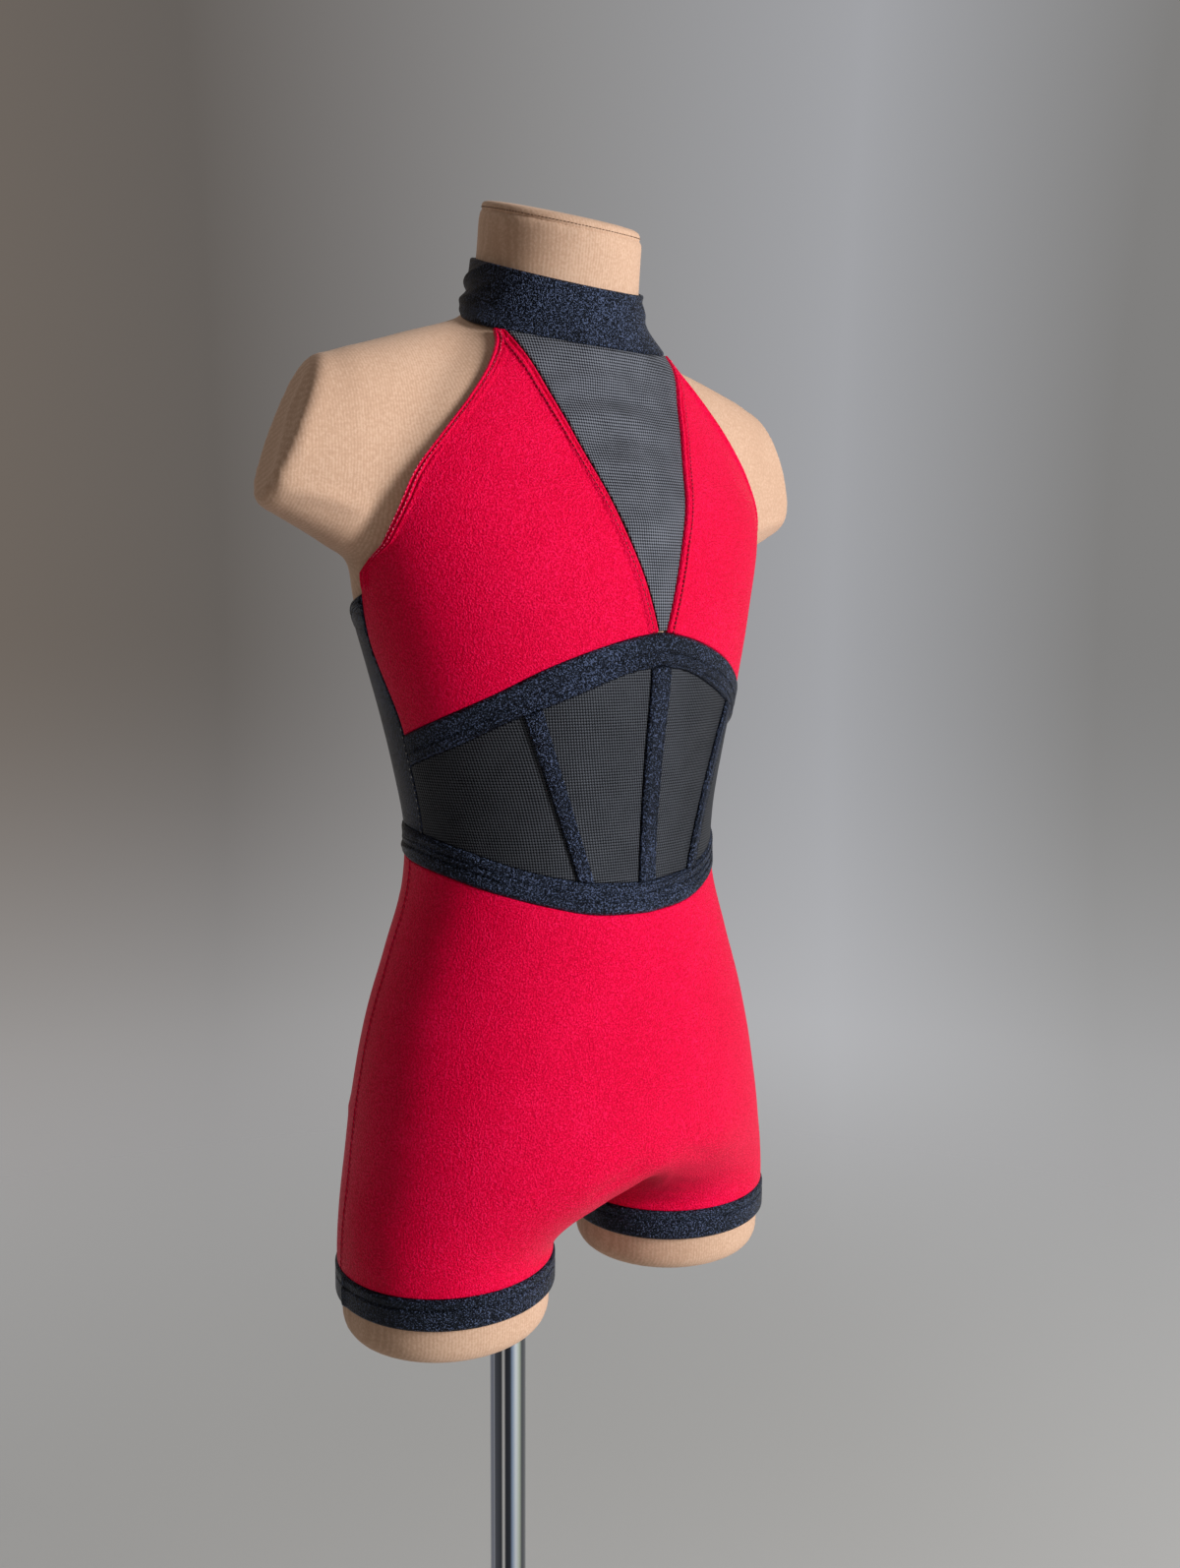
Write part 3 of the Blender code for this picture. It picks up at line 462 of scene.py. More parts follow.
def ramp_stops(node: bpy.types.Node, stops: Sequence[tuple[float, str]]) -> bpy.types.Node:
    """Set a colour ramp's stops.

    Args:
        node: the ramp.
        stops: the place and the sRGB hex code of each stop.

    Returns:
        The ramp.
    """
    elements = node.color_ramp.elements
    while len(elements) < len(stops):
        elements.new(1.0)
    for element, (place, code) in zip(elements, stops):
        element.position, element.color = place, srgb(code)
    return node


def new_material(name: str) -> tuple[bpy.types.Material, bpy.types.NodeTree, bpy.types.Node]:
    """Start a material.

    Args:
        name: the material's name.

    Returns:
        The material, its tree and its Principled node.
    """
    material = bpy.data.materials.new(name)
    material.use_nodes = True
    return material, material.node_tree, material.node_tree.nodes["Principled BSDF"]


@dataclass(frozen=True)
class Spandex:
    """Nylon and elastane tricot: satin gloss broken up by clumps of filaments, with painted glints
    as bright flecks in its colour.
    """

    name: str
    deep: str
    middle: str
    bright: str
    gloss_tint: str
    roughness: float
    specular: float
    glint: float                # how far a clump of filaments turns the surface
    grain: float = 0.0010       # clumps of filaments and the painted glints, drawn coarse enough to show

    def build(self) -> bpy.types.Material:
        """Make the material."""
        material, tree, shader = new_material(self.name)
        place = add_node(tree, "ShaderNodeTexCoord")
        grain = add_node(tree, "ShaderNodeTexNoise", {
            "Vector": place.outputs["Object"], "Scale": 1 / self.grain, "Detail": 2.0,
            "Roughness": 0.6})
        tone = add_node(tree, "ShaderNodeTexNoise", {
            "Vector": place.outputs["Object"], "Scale": 1 / 0.05, "Detail": 2.0})
        mixed = add_node(tree, "ShaderNodeMath", {0: tone.outputs["Fac"], 1: 0.16,
                                                  2: grain.outputs["Fac"]},
                         operation="MULTIPLY_ADD")
        # The bright stop is painted glints: pale flecks in the base colour where the lamps would
        # glint.
        colour = ramp_stops(add_node(tree, "ShaderNodeValToRGB", {"Fac": mixed.outputs[0]}),
                            ((0.46, self.deep), (0.61, self.middle), (0.74, self.bright)))
        gloss = add_node(tree, "ShaderNodeMapRange", {
            "Value": grain.outputs["Fac"], "From Min": 0.3, "From Max": 0.7,
            "To Min": self.roughness + 0.08, "To Max": self.roughness - 0.08})
        bump = add_node(tree, "ShaderNodeBump", {
            "Height": grain.outputs["Fac"], "Strength": self.glint,
            "Distance": self.grain * 1.5})
        connect(tree, shader, {
            "Base Color": colour.outputs["Color"], "Roughness": gloss.outputs["Result"],
            "Normal": bump.outputs["Normal"], "Specular IOR Level": self.specular,
            "Specular Tint": srgb(self.gloss_tint)})
        return material


@dataclass(frozen=True)
class PowerMesh:
    """Knitted power net: glossy threads around small holes that show the form; the threads'
    grey-blue colour is painted sheen on black nylon.
    """

    name: str
    thread: str
    hole: str
    hole_cover: float           # how much of the form a hole still hides
    pitch: float = 0.0022       # nearly twice the real net, so that it shows

    def build(self) -> bpy.types.Material:
        """Make the material."""
        material, tree, shader = new_material(self.name)
        place = add_node(tree, "ShaderNodeTexCoord")
        axes = add_node(tree, "ShaderNodeSeparateXYZ", {"Vector": place.outputs["UV"]})
        waves = []
        for operation in ("ADD", "SUBTRACT"):
            across = add_node(tree, "ShaderNodeMath", {0: axes.outputs["X"],
                                                       1: axes.outputs["Y"]},
                              operation=operation)
            turn = add_node(tree, "ShaderNodeMath", {0: across.outputs[0],
                                                     1: math.sqrt(2) * math.pi / self.pitch},
                            operation="MULTIPLY")
            waves.append(add_node(tree, "ShaderNodeMath", {0: turn.outputs[0]},
                                  operation="SINE"))
        net = add_node(tree, "ShaderNodeMath", {0: waves[0].outputs[0], 1: waves[1].outputs[0]},
                       operation="MULTIPLY")
        cloud = add_node(tree, "ShaderNodeTexNoise", {
            "Vector": place.outputs["Object"], "Scale": 1 / 0.014, "Detail": 2.0})
        loose = add_node(tree, "ShaderNodeMapRange", {
            "Value": cloud.outputs["Fac"], "From Min": 0.3, "From Max": 0.7, "To Min": -0.10,
            "To Max": 0.10})
        mixed = add_node(tree, "ShaderNodeMath", {0: net.outputs[0], 1: loose.outputs[0]},
                         operation="ADD")
        cover = add_node(tree, "ShaderNodeMapRange", {
            "Value": mixed.outputs[0], "From Min": -0.3, "From Max": 0.3,
            "To Min": self.hole_cover, "To Max": 1.0})
        share = add_node(tree, "ShaderNodeMapRange", {
            "Value": mixed.outputs[0], "From Min": -0.4, "From Max": 0.5})
        # The thread stop's grey-blue is painted sheen on the black threads.
        colour = ramp_stops(add_node(tree, "ShaderNodeValToRGB", {"Fac": share.outputs[0]}),
                            ((0.15, self.hole), (0.85, self.thread)))
        bump = add_node(tree, "ShaderNodeBump", {
            "Height": net.outputs[0], "Strength": 0.5, "Distance": 0.0003})
        connect(tree, shader, {
            "Base Color": colour.outputs["Color"], "Alpha": cover.outputs["Result"],
            "Normal": bump.outputs["Normal"], "Roughness": 0.45, "Specular IOR Level": 0.30,
            "Specular Tint": srgb("#B8C0D0")})
        return material


@dataclass(frozen=True)
class Jersey:
    """Matt cotton jersey: fine upright wales and a soft, dusty edge."""

    name: str = "beige_cotton_jersey"
    deep: str = "#B08C73"
    middle: str = "#C6A288"
    bright: str = "#D0AE95"
    wale: float = 0.0016        # drawn wider than the real 0.8 mm

    def build(self) -> bpy.types.Material:
        """Make the material."""
        material, tree, shader = new_material(self.name)
        place = add_node(tree, "ShaderNodeTexCoord")
        wales = add_node(tree, "ShaderNodeTexWave", {
            "Vector": place.outputs["Object"], "Scale": 2 * math.pi / (20 * self.wale),
            "Distortion": 1.2, "Detail": 1.0}, wave_type="BANDS", bands_direction="X")
        grain = add_node(tree, "ShaderNodeTexNoise", {
            "Vector": place.outputs["Object"], "Scale": 1 / 0.0014, "Detail": 3.0})
        tone = add_node(tree, "ShaderNodeTexNoise", {
            "Vector": place.outputs["Object"], "Scale": 1 / 0.06, "Detail": 2.0})
        height = add_node(tree, "ShaderNodeMath", {0: wales.outputs["Fac"], 1: 0.20,
                                                   2: grain.outputs["Fac"]},
                          operation="MULTIPLY_ADD")
        shade = add_node(tree, "ShaderNodeMath", {0: tone.outputs["Fac"], 1: 0.5,
                                                  2: height.outputs[0]},
                         operation="MULTIPLY_ADD")
        colour = ramp_stops(add_node(tree, "ShaderNodeValToRGB", {"Fac": shade.outputs[0]}),
                            ((0.25, self.deep), (0.85, self.middle), (1.0, self.bright)))
        bump = add_node(tree, "ShaderNodeBump", {
            "Height": height.outputs[0], "Strength": 0.25, "Distance": 0.0002})
        connect(tree, shader, {
            "Base Color": colour.outputs["Color"], "Normal": bump.outputs["Normal"],
            "Roughness": 0.85, "Specular IOR Level": 0.25, "Sheen Weight": 0.15,
            "Sheen Tint": srgb("#FFE9D8")})
        return material


@dataclass(frozen=True)
class Metal:
    """Plated or brushed steel: a mirror with fine scratches in one direction, and painted
    reflections in its colour where they are given.
    """

    name: str
    colour: str
    roughness: float
    scratch: float              # width of the scratches
    stretch: tuple[float, float, float]
    relief: float
    # Painted reflections around an upright axis: the dark and bright things that a room would
    # mirror in polished chrome, which the bare studio has not
    painted_reflections: tuple[tuple[float, str], ...] = ()

    def build(self) -> bpy.types.Material:
        """Make the material."""
        material, tree, shader = new_material(self.name)
        place = add_node(tree, "ShaderNodeTexCoord")
        drawn = add_node(tree, "ShaderNodeMapping", {"Vector": place.outputs["Object"],
                                                     "Scale": self.stretch})
        lines = add_node(tree, "ShaderNodeTexNoise", {
            "Vector": drawn.outputs["Vector"], "Scale": 1 / self.scratch, "Detail": 3.0})
        gloss = add_node(tree, "ShaderNodeMapRange", {
            "Value": lines.outputs["Fac"], "From Min": 0.3, "From Max": 0.7,
            "To Min": self.roughness * 0.7, "To Max": self.roughness * 1.4})
        axes = add_node(tree, "ShaderNodeSeparateXYZ", {"Vector": place.outputs["Object"]})
        angle = add_node(tree, "ShaderNodeMath", {0: axes.outputs["Y"], 1: axes.outputs["X"]},
                         operation="ARCTAN2")
        around = add_node(tree, "ShaderNodeMapRange", {
            "Value": angle.outputs[0], "From Min": -math.pi, "From Max": math.pi})
        # Where painted reflections are given, they colour the metal by the angle around its axis.
        source = around.outputs[0] if self.painted_reflections else lines.outputs["Fac"]
        tint = ramp_stops(add_node(tree, "ShaderNodeValToRGB", {"Fac": source}),
                          self.painted_reflections or ((0.2, "#B9BBBE"), (0.6, self.colour)))
        bump = add_node(tree, "ShaderNodeBump", {
            "Height": lines.outputs["Fac"], "Strength": 0.3, "Distance": self.relief})
        connect(tree, shader, {
            "Base Color": tint.outputs["Color"], "Roughness": gloss.outputs["Result"],
            "Normal": bump.outputs["Normal"], "Metallic": 1.0})
        return material


@dataclass(frozen=True)
class Thread:
    """Polyester sewing thread: a twisted strand with a slight gloss."""

    name: str
    dark: str
    light: str
    specular: float = 0.3

    def build(self) -> bpy.types.Material:
        """Make the material."""
        material, tree, shader = new_material(self.name)
        place = add_node(tree, "ShaderNodeTexCoord")
        fibre = add_node(tree, "ShaderNodeTexNoise", {
            "Vector": place.outputs["Object"], "Scale": 1 / 0.0008, "Detail": 1.0})
        colour = ramp_stops(add_node(tree, "ShaderNodeValToRGB", {"Fac": fibre.outputs["Fac"]}),
                            ((0.35, self.dark), (0.65, self.light)))
        connect(tree, shader, {"Base Color": colour.outputs["Color"], "Roughness": 0.5,
                               "Specular IOR Level": self.specular})
        return material


@dataclass
class Finishes:
    """Every material of the object, each made once."""

    red: bpy.types.Material = field(init=False)
    black: bpy.types.Material = field(init=False)
    yoke_net: bpy.types.Material = field(init=False)
    bodice_net: bpy.types.Material = field(init=False)
    jersey: bpy.types.Material = field(init=False)
    chrome: bpy.types.Material = field(init=False)
    steel: bpy.types.Material = field(init=False)
    red_thread: bpy.types.Material = field(init=False)
    pink_thread: bpy.types.Material = field(init=False)
    black_thread: bpy.types.Material = field(init=False)
    pale_thread: bpy.types.Material = field(init=False)
    beige_thread: bpy.types.Material = field(init=False)

    def __post_init__(self) -> None:
        """Build the materials."""
        # The bright stop of both spandexes is painted glints.
        self.red = Spandex("red_nylon_spandex", "#CC0030", "#E6023C", "#F21452", "#FF4E7C",
                           0.46, 0.27, 0.75, 0.0010).build()
        self.black = Spandex("black_nylon_spandex", "#010102", "#030406", "#525E7C", "#A6B8DE",
                             0.33, 0.31, 1.0, 0.0009).build()
        # Both nets are black; the grey of their threads is painted sheen.
        self.yoke_net = PowerMesh("black_yoke_net", "#6E717A", "#030304", 0.84).build()
        self.bodice_net = PowerMesh("black_bodice_net", "#3E4045", "#030304", 0.90).build()
        self.jersey = Jersey().build()
        # The chrome's colour carries painted reflections of a room, in bands around the pole.
        self.chrome = Metal("chrome_plated_steel", "#E6E8EA", 0.07, 0.0010,
                            (1.0, 1.0, 0.02), 0.00001, (
                                (0.0, "#D8DCE8"), (0.02, "#6A6E78"), (0.085, "#4A4C54"),
                                (0.105, "#FFFFFF"), (0.125, "#383A42"), (0.165, "#3C4048"),
                                (0.185, "#9CB0CC"), (0.215, "#E0E8F0"), (0.255, "#C4CFC0"),
                                (0.285, "#66686E"), (0.33, "#7A7D84"), (0.45, "#D4D6DA"),
                                (0.58, "#4A4C52"), (0.70, "#B8BCC4"), (0.90, "#9AA0B2"))).build()
        self.steel = Metal("brushed_base_steel", "#C9CACC", 0.30, 0.0010,
                           (1.0, 0.03, 1.0), 0.00003).build()
        self.red_thread = Thread("red_sewing_thread", "#6E0018", "#A00A32").build()
        # Red thread painted pink: the pink is painted highlight on the hem's coverstitch.
        self.pink_thread = Thread("red_sewing_thread_painted_highlight", "#D92C58", "#F2708F").build()
        self.black_thread = Thread("black_sewing_thread", "#020203", "#0B0D14", 0.15).build()
        self.pale_thread = Thread("pale_sewing_thread", "#8C8A86", "#D8D4CC").build()
        self.beige_thread = Thread("brown_sewing_thread", "#4A3425", "#7A5B42").build()


# Cloth


@dataclass
class ClothGrid:
    """A stretch of cloth on the form's surface, as rows of points.

    The relief is how far the outer face stands out, by the distance in from the
    open sides.
    """

    points: Array
    open_sides: tuple[Side, ...] = ()
    relief: Optional[Relief] = None

    def __post_init__(self) -> None:
        """Measure along the rows and the columns."""
        along = np.linalg.norm(np.diff(self.points, axis=1), axis=2)
        up = np.linalg.norm(np.diff(self.points, axis=0), axis=2)
        rows, columns = self.points.shape[:2]
        self.across = np.hstack([np.zeros((rows, 1)), np.cumsum(along, axis=1)])
        self.upwards = np.vstack([np.zeros((1, columns)), np.cumsum(up, axis=0)])

    def distances(self) -> dict[Side, Array]:
        """Return each point's distance from each side."""
        return {Side.LEFT: self.across, Side.RIGHT: self.across[:, -1:] - self.across,
                Side.BOTTOM: self.upwards, Side.TOP: self.upwards[-1:] - self.upwards}

    def line(self, side: Side, distance: float, start: float = 0.0,
             end: float = 1.0) -> Array:
        """Return the line that runs at a distance inside one side.

        Args:
            side: the side that it follows.
            distance: how far in it lies.
            start: the share of the side at which it starts.
            end: the share at which it ends.

        Returns:
            The points of the line.
        """
        away = self.distances()[side]
        points = self.points
        if side in (Side.BOTTOM, Side.TOP):
            away, points = away.T, points.transpose(1, 0, 2)
        count = len(away)
        first, last = int(start * (count - 1)), int(round(end * (count - 1)))
        found = []
        for gaps, row in zip(away[first:last + 1], points[first:last + 1]):
            order = np.argsort(gaps)
            found.append([np.interp(distance, gaps[order], row[order, k]) for k in range(3)])
        return np.array(found)

    def area(self) -> float:
        """Return the area of the stretch."""
        p = self.points
        first = np.cross(p[:-1, 1:] - p[:-1, :-1], p[1:, :-1] - p[:-1, :-1])
        last = np.cross(p[1:, :-1] - p[1:, 1:], p[:-1, 1:] - p[1:, 1:])
        return float((np.linalg.norm(first, axis=2) + np.linalg.norm(last, axis=2)).sum() / 2)


@dataclass
class Crease:
    """A soft ridge or trough in worn cloth."""

    path: Sequence[Sequence[float]]
    width: float
    depth: float                # above 0 a ridge, below 0 a trough

    def heights(self, points: Array, normals: Array) -> Array:
        """Return how far the cloth stands out at each point.

        A path drawn a little off the surface counts as if it lay on it.
        """
        path = np.asarray(self.path, float)
        nearest = np.full(len(points), 1e9)
        place = np.zeros(len(points))
        lengths = np.linalg.norm(np.diff(path, axis=0), axis=1)
        total = lengths.sum()
        before = 0.0
        for a, b, length in zip(path[:-1], path[1:], lengths):
            t = np.clip((points - a) @ (b - a) / length ** 2, 0.0, 1.0)
            away = points - (a + t[:, None] * (b - a))
            along = np.einsum("ij,ij->i", away, normals)[:, None] * normals
            gap = np.linalg.norm(away - OFF_SURFACE_SHARE * along, axis=1)
            closer = gap < nearest
            nearest = np.where(closer, gap, nearest)
            place = np.where(closer, (before + t * length) / total, place)
            before += length
        taper = np.sin(np.pi * np.clip(place, 0.0, 1.0)) ** 0.7
        return self.depth * np.exp(-(nearest / self.width) ** 2) * taper


def read(items: Any, name: str, width: int = 1, kind: type = float) -> Array:
    """Return one value of every item, in rows of the given width."""
    values = np.empty(len(items) * width, kind)
    items.foreach_get(name, values)
    return values if width == 1 else values.reshape(-1, width)


def evened(points: Array, edges: Array, share: Array, rounds: int) -> Array:
    """Move points towards the middle of their neighbours.

    Args:
        points: the points.
        edges: the pairs that are joined.
        share: how far each point moves in a round.
        rounds: how often they move.

    Returns:
        The moved points.
    """
    count = len(points)
    a, b = edges.T
    near = np.maximum(np.bincount(a, minlength=count) + np.bincount(b, minlength=count), 1)
    for _ in range(rounds):
        total = np.stack([np.bincount(a, points[b, k], count)
                          + np.bincount(b, points[a, k], count) for k in range(3)], -1)
        points = points + share[:, None] * (total / near[:, None] - points)
    return points


@dataclass
class Bridge:
    """A hollow of the form that the stretched cloth spans."""

    centre: tuple[float, float, float]
    radius: float
    rounds: int = 160
    give: float = 0.0003        # how far the cloth may sink towards the form
    last_rounds: int = 24

    def shift(self, points: Array, normals: Array, edges: Array, fixed: Array) -> Array:
        """Return the points with the hollow spanned."""
        away = np.linalg.norm(points - np.asarray(self.centre), axis=1)
        share = 0.6 * (1 - smooth_step(0.5 * self.radius, self.radius, away)) * ~fixed
        moved = ((evened(points, edges, share, self.rounds) - points) * normals).sum(axis=1)
        spanned = points + normals * np.maximum(moved, -self.give)[:, None]
        return evened(spanned, edges, share, self.last_rounds)


@dataclass
class Cloth:
    """One sewn piece: grids on the form, lifted and given a wall."""

    name: str
    node: str
    slot: str
    material: bpy.types.Material
    grids: list[ClothGrid]
    wall: float
    lift: float = CLEARANCE
    centre_x: float = 0.0
    creases: list[Crease] = field(default_factory=list)
    bridges: Sequence[Bridge] = ()
    ripple: float = 0.00010     # slow unevenness that a stretched knit keeps
    stretch_around: float = 1.12
    stretch_along: float = 1.05

    def outer_offset(self, grid: ClothGrid) -> Array:
        """Return how far the outer face lies above the inner one."""
        away = grid.distances()
        nearest = np.full(grid.across.shape, 1.0)
        for side in grid.open_sides:
            nearest = np.minimum(nearest, away[side])
        inside = np.clip(nearest / self.wall, 0.0, 1.0)
        rounded = self.wall * (EDGE_SHARE + (1 - EDGE_SHARE) * np.sqrt(1 - (1 - inside) ** 2))
        if grid.relief:
            rounded = rounded + grid.relief(away) * smooth_step(0.0, self.wall, nearest)
        return rounded

    def base_mesh(self) -> bpy.types.Mesh:
        """Join the grids on the form's surface, with the offsets kept on the points."""
        verts, faces, uvs, offsets, first = [], [], [], [], 0
        for grid in self.grids:
            rows, columns = grid.points.shape[:2]
            verts.append(grid.points.reshape(-1, 3))
            offsets.append(self.outer_offset(grid).reshape(-1))
            middle = grid.across[:, columns // 2:columns // 2 + 1]
            uvs.append(np.stack([grid.across - middle, grid.points[..., 2]], -1).reshape(-1, 2))
            index = first + np.arange(rows * columns).reshape(rows, columns)
            faces.append(np.stack([index[:-1, :-1], index[:-1, 1:], index[1:, 1:],
                                   index[1:, :-1]], -1).reshape(-1, 4))
            first += rows * columns
        faces, uvs = np.concatenate(faces), np.concatenate(uvs)
        data = bpy.data.meshes.new(self.name)
        data.from_pydata(np.concatenate(verts).tolist(), [], faces.tolist())
        layer = data.uv_layers.new(name="UVMap")
        layer.data.foreach_set("uv", uvs[faces.reshape(-1)].astype(np.float32).reshape(-1))
        kept = data.attributes.new("offset", "FLOAT", "POINT")
        kept.data.foreach_set("value", np.concatenate(offsets).astype(np.float32))
        mesh = bmesh.new()
        mesh.from_mesh(data)
        bmesh.ops.remove_doubles(mesh, verts=mesh.verts, dist=MERGE_DISTANCE)
        bmesh.ops.recalc_face_normals(mesh, faces=mesh.faces)
        outward = sum(f.calc_area() * (f.normal.x * (f.calc_center_median().x - self.centre_x)
                                       + f.normal.y * (f.calc_center_median().y - FIGURE_Y))
                      for f in mesh.faces)
        if outward < 0:
            bmesh.ops.reverse_faces(mesh, faces=mesh.faces)
        mesh.to_mesh(data)
        mesh.free()
        return data

    def make(self) -> bpy.types.Object:
        """Build the shell and hide the CAD part that it replaces."""
        data = self.base_mesh()
        count = len(data.vertices)
        corners = read(data.loops, "vertex_index", kind=int)
        starts = read(data.polygons, "loop_start", kind=int)
        following = np.arange(len(corners)) + 1
        following[np.append(starts[1:], len(corners)) - 1] = starts
        edges = np.stack([corners, corners[following]], -1)
        pairs, where, uses = np.unique(np.sort(edges, axis=1), axis=0, return_inverse=True,
                                       return_counts=True)
        rim = uses[where.reshape(-1)] == 1
        fixed = np.zeros(count, bool)
        fixed[edges[rim]] = True
        for bridge in self.bridges:
            base = bridge.shift(read(data.vertices, "co", 3),
                                read(data.vertex_normals, "vector", 3), pairs, fixed)
            data.vertices.foreach_set("co", base.reshape(-1))
            data.update()
        base, normals = read(data.vertices, "co", 3), read(data.vertex_normals, "vector", 3)
        offset = read(data.attributes["offset"].data, "value")
        folds = sum((crease.heights(base, normals) for crease in self.creases), np.zeros(count))
        slow = (np.sin(base[:, 0] * 171 + 1.3) * np.sin(base[:, 2] * 139)
                * np.cos(base[:, 1] * 157 + 0.7))
        rise = np.maximum(offset + folds + self.ripple * slow, EDGE_SHARE * self.wall)
        inner = base + normals * self.lift
        outer = inner + normals * rise[:, None]

        uvs = read(data.uv_layers["UVMap"].data, "uv", 2)
        a, b = edges[rim].T
        rims = np.stack([b, a, a + count, b + count], -1)
        rim_uvs = np.stack([uvs[following], uvs, uvs, uvs[following]], 1)[rim].reshape(-1, 2)
        front = np.split(corners, starts[1:])
        back = [face[::-1] + count for face in front]
        back_uvs = [face[::-1] for face in np.split(uvs, starts[1:])]
        faces = [face.tolist() for face in front + back] + rims.tolist()
        shell = bpy.data.meshes.new(self.name)
        shell.from_pydata(np.concatenate([outer, inner]).tolist(), [], faces)
        shell.uv_layers.new(name="UVMap").data.foreach_set(
            "uv", np.concatenate([uvs, *back_uvs, rim_uvs]).astype(np.float32).reshape(-1))
        bpy.data.meshes.remove(data)
        return finish_piece(self.name, shell, self.material, [self.node])

    def flat_size(self) -> tuple[float, float, float]:
        """Return the width, length and area of the cut before it is stretched."""
        rows = [grid.across[:, -1].max() for grid in self.grids]
        columns = [grid.upwards[-1].max() for grid in self.grids]
        area = sum(grid.area() for grid in self.grids)
        width, length = rows[0] / self.stretch_around, columns[0] / self.stretch_along
        area /= self.stretch_around * self.stretch_along
        if len(self.grids) > 1:
            length = max(length, area / width * 1.02)
        return width, length, area

    def declare(self) -> None:
        """Log the size and area of the piece's flat cut."""
        width, length, area = self.flat_size()
        length = max(length, area / width)
        LOG.info("%s: cut %.0f x %.0f mm, %.4f square metres", self.name, width * 1000,
                 length * 1000, area)


def linked(name: str, data: bpy.types.ID) -> bpy.types.Object:
    """Return a new object of the scene."""
    item = bpy.data.objects.new(name, data)
    bpy.context.scene.collection.objects.link(item)
    return item


def finish_piece(name: str, data: bpy.types.Mesh, material: bpy.types.Material,
                 nodes: Sequence[str] = ()) -> bpy.types.Object:
    """Link a mesh as a piece of the object.

    Args:
        name: the piece's name.
        data: its mesh, in place.
        material: its finish.
        nodes: the CAD nodes that it replaces.

    Returns:
        The piece.
    """
    data.materials.clear()
    data.materials.append(material)
    data.shade_smooth()
    item = linked(name, data)
    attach(item, BODY)
    if nodes:
        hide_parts(*nodes)
    LOG.info("%s: %d faces", name, len(data.polygons))
    return item


# Stitches


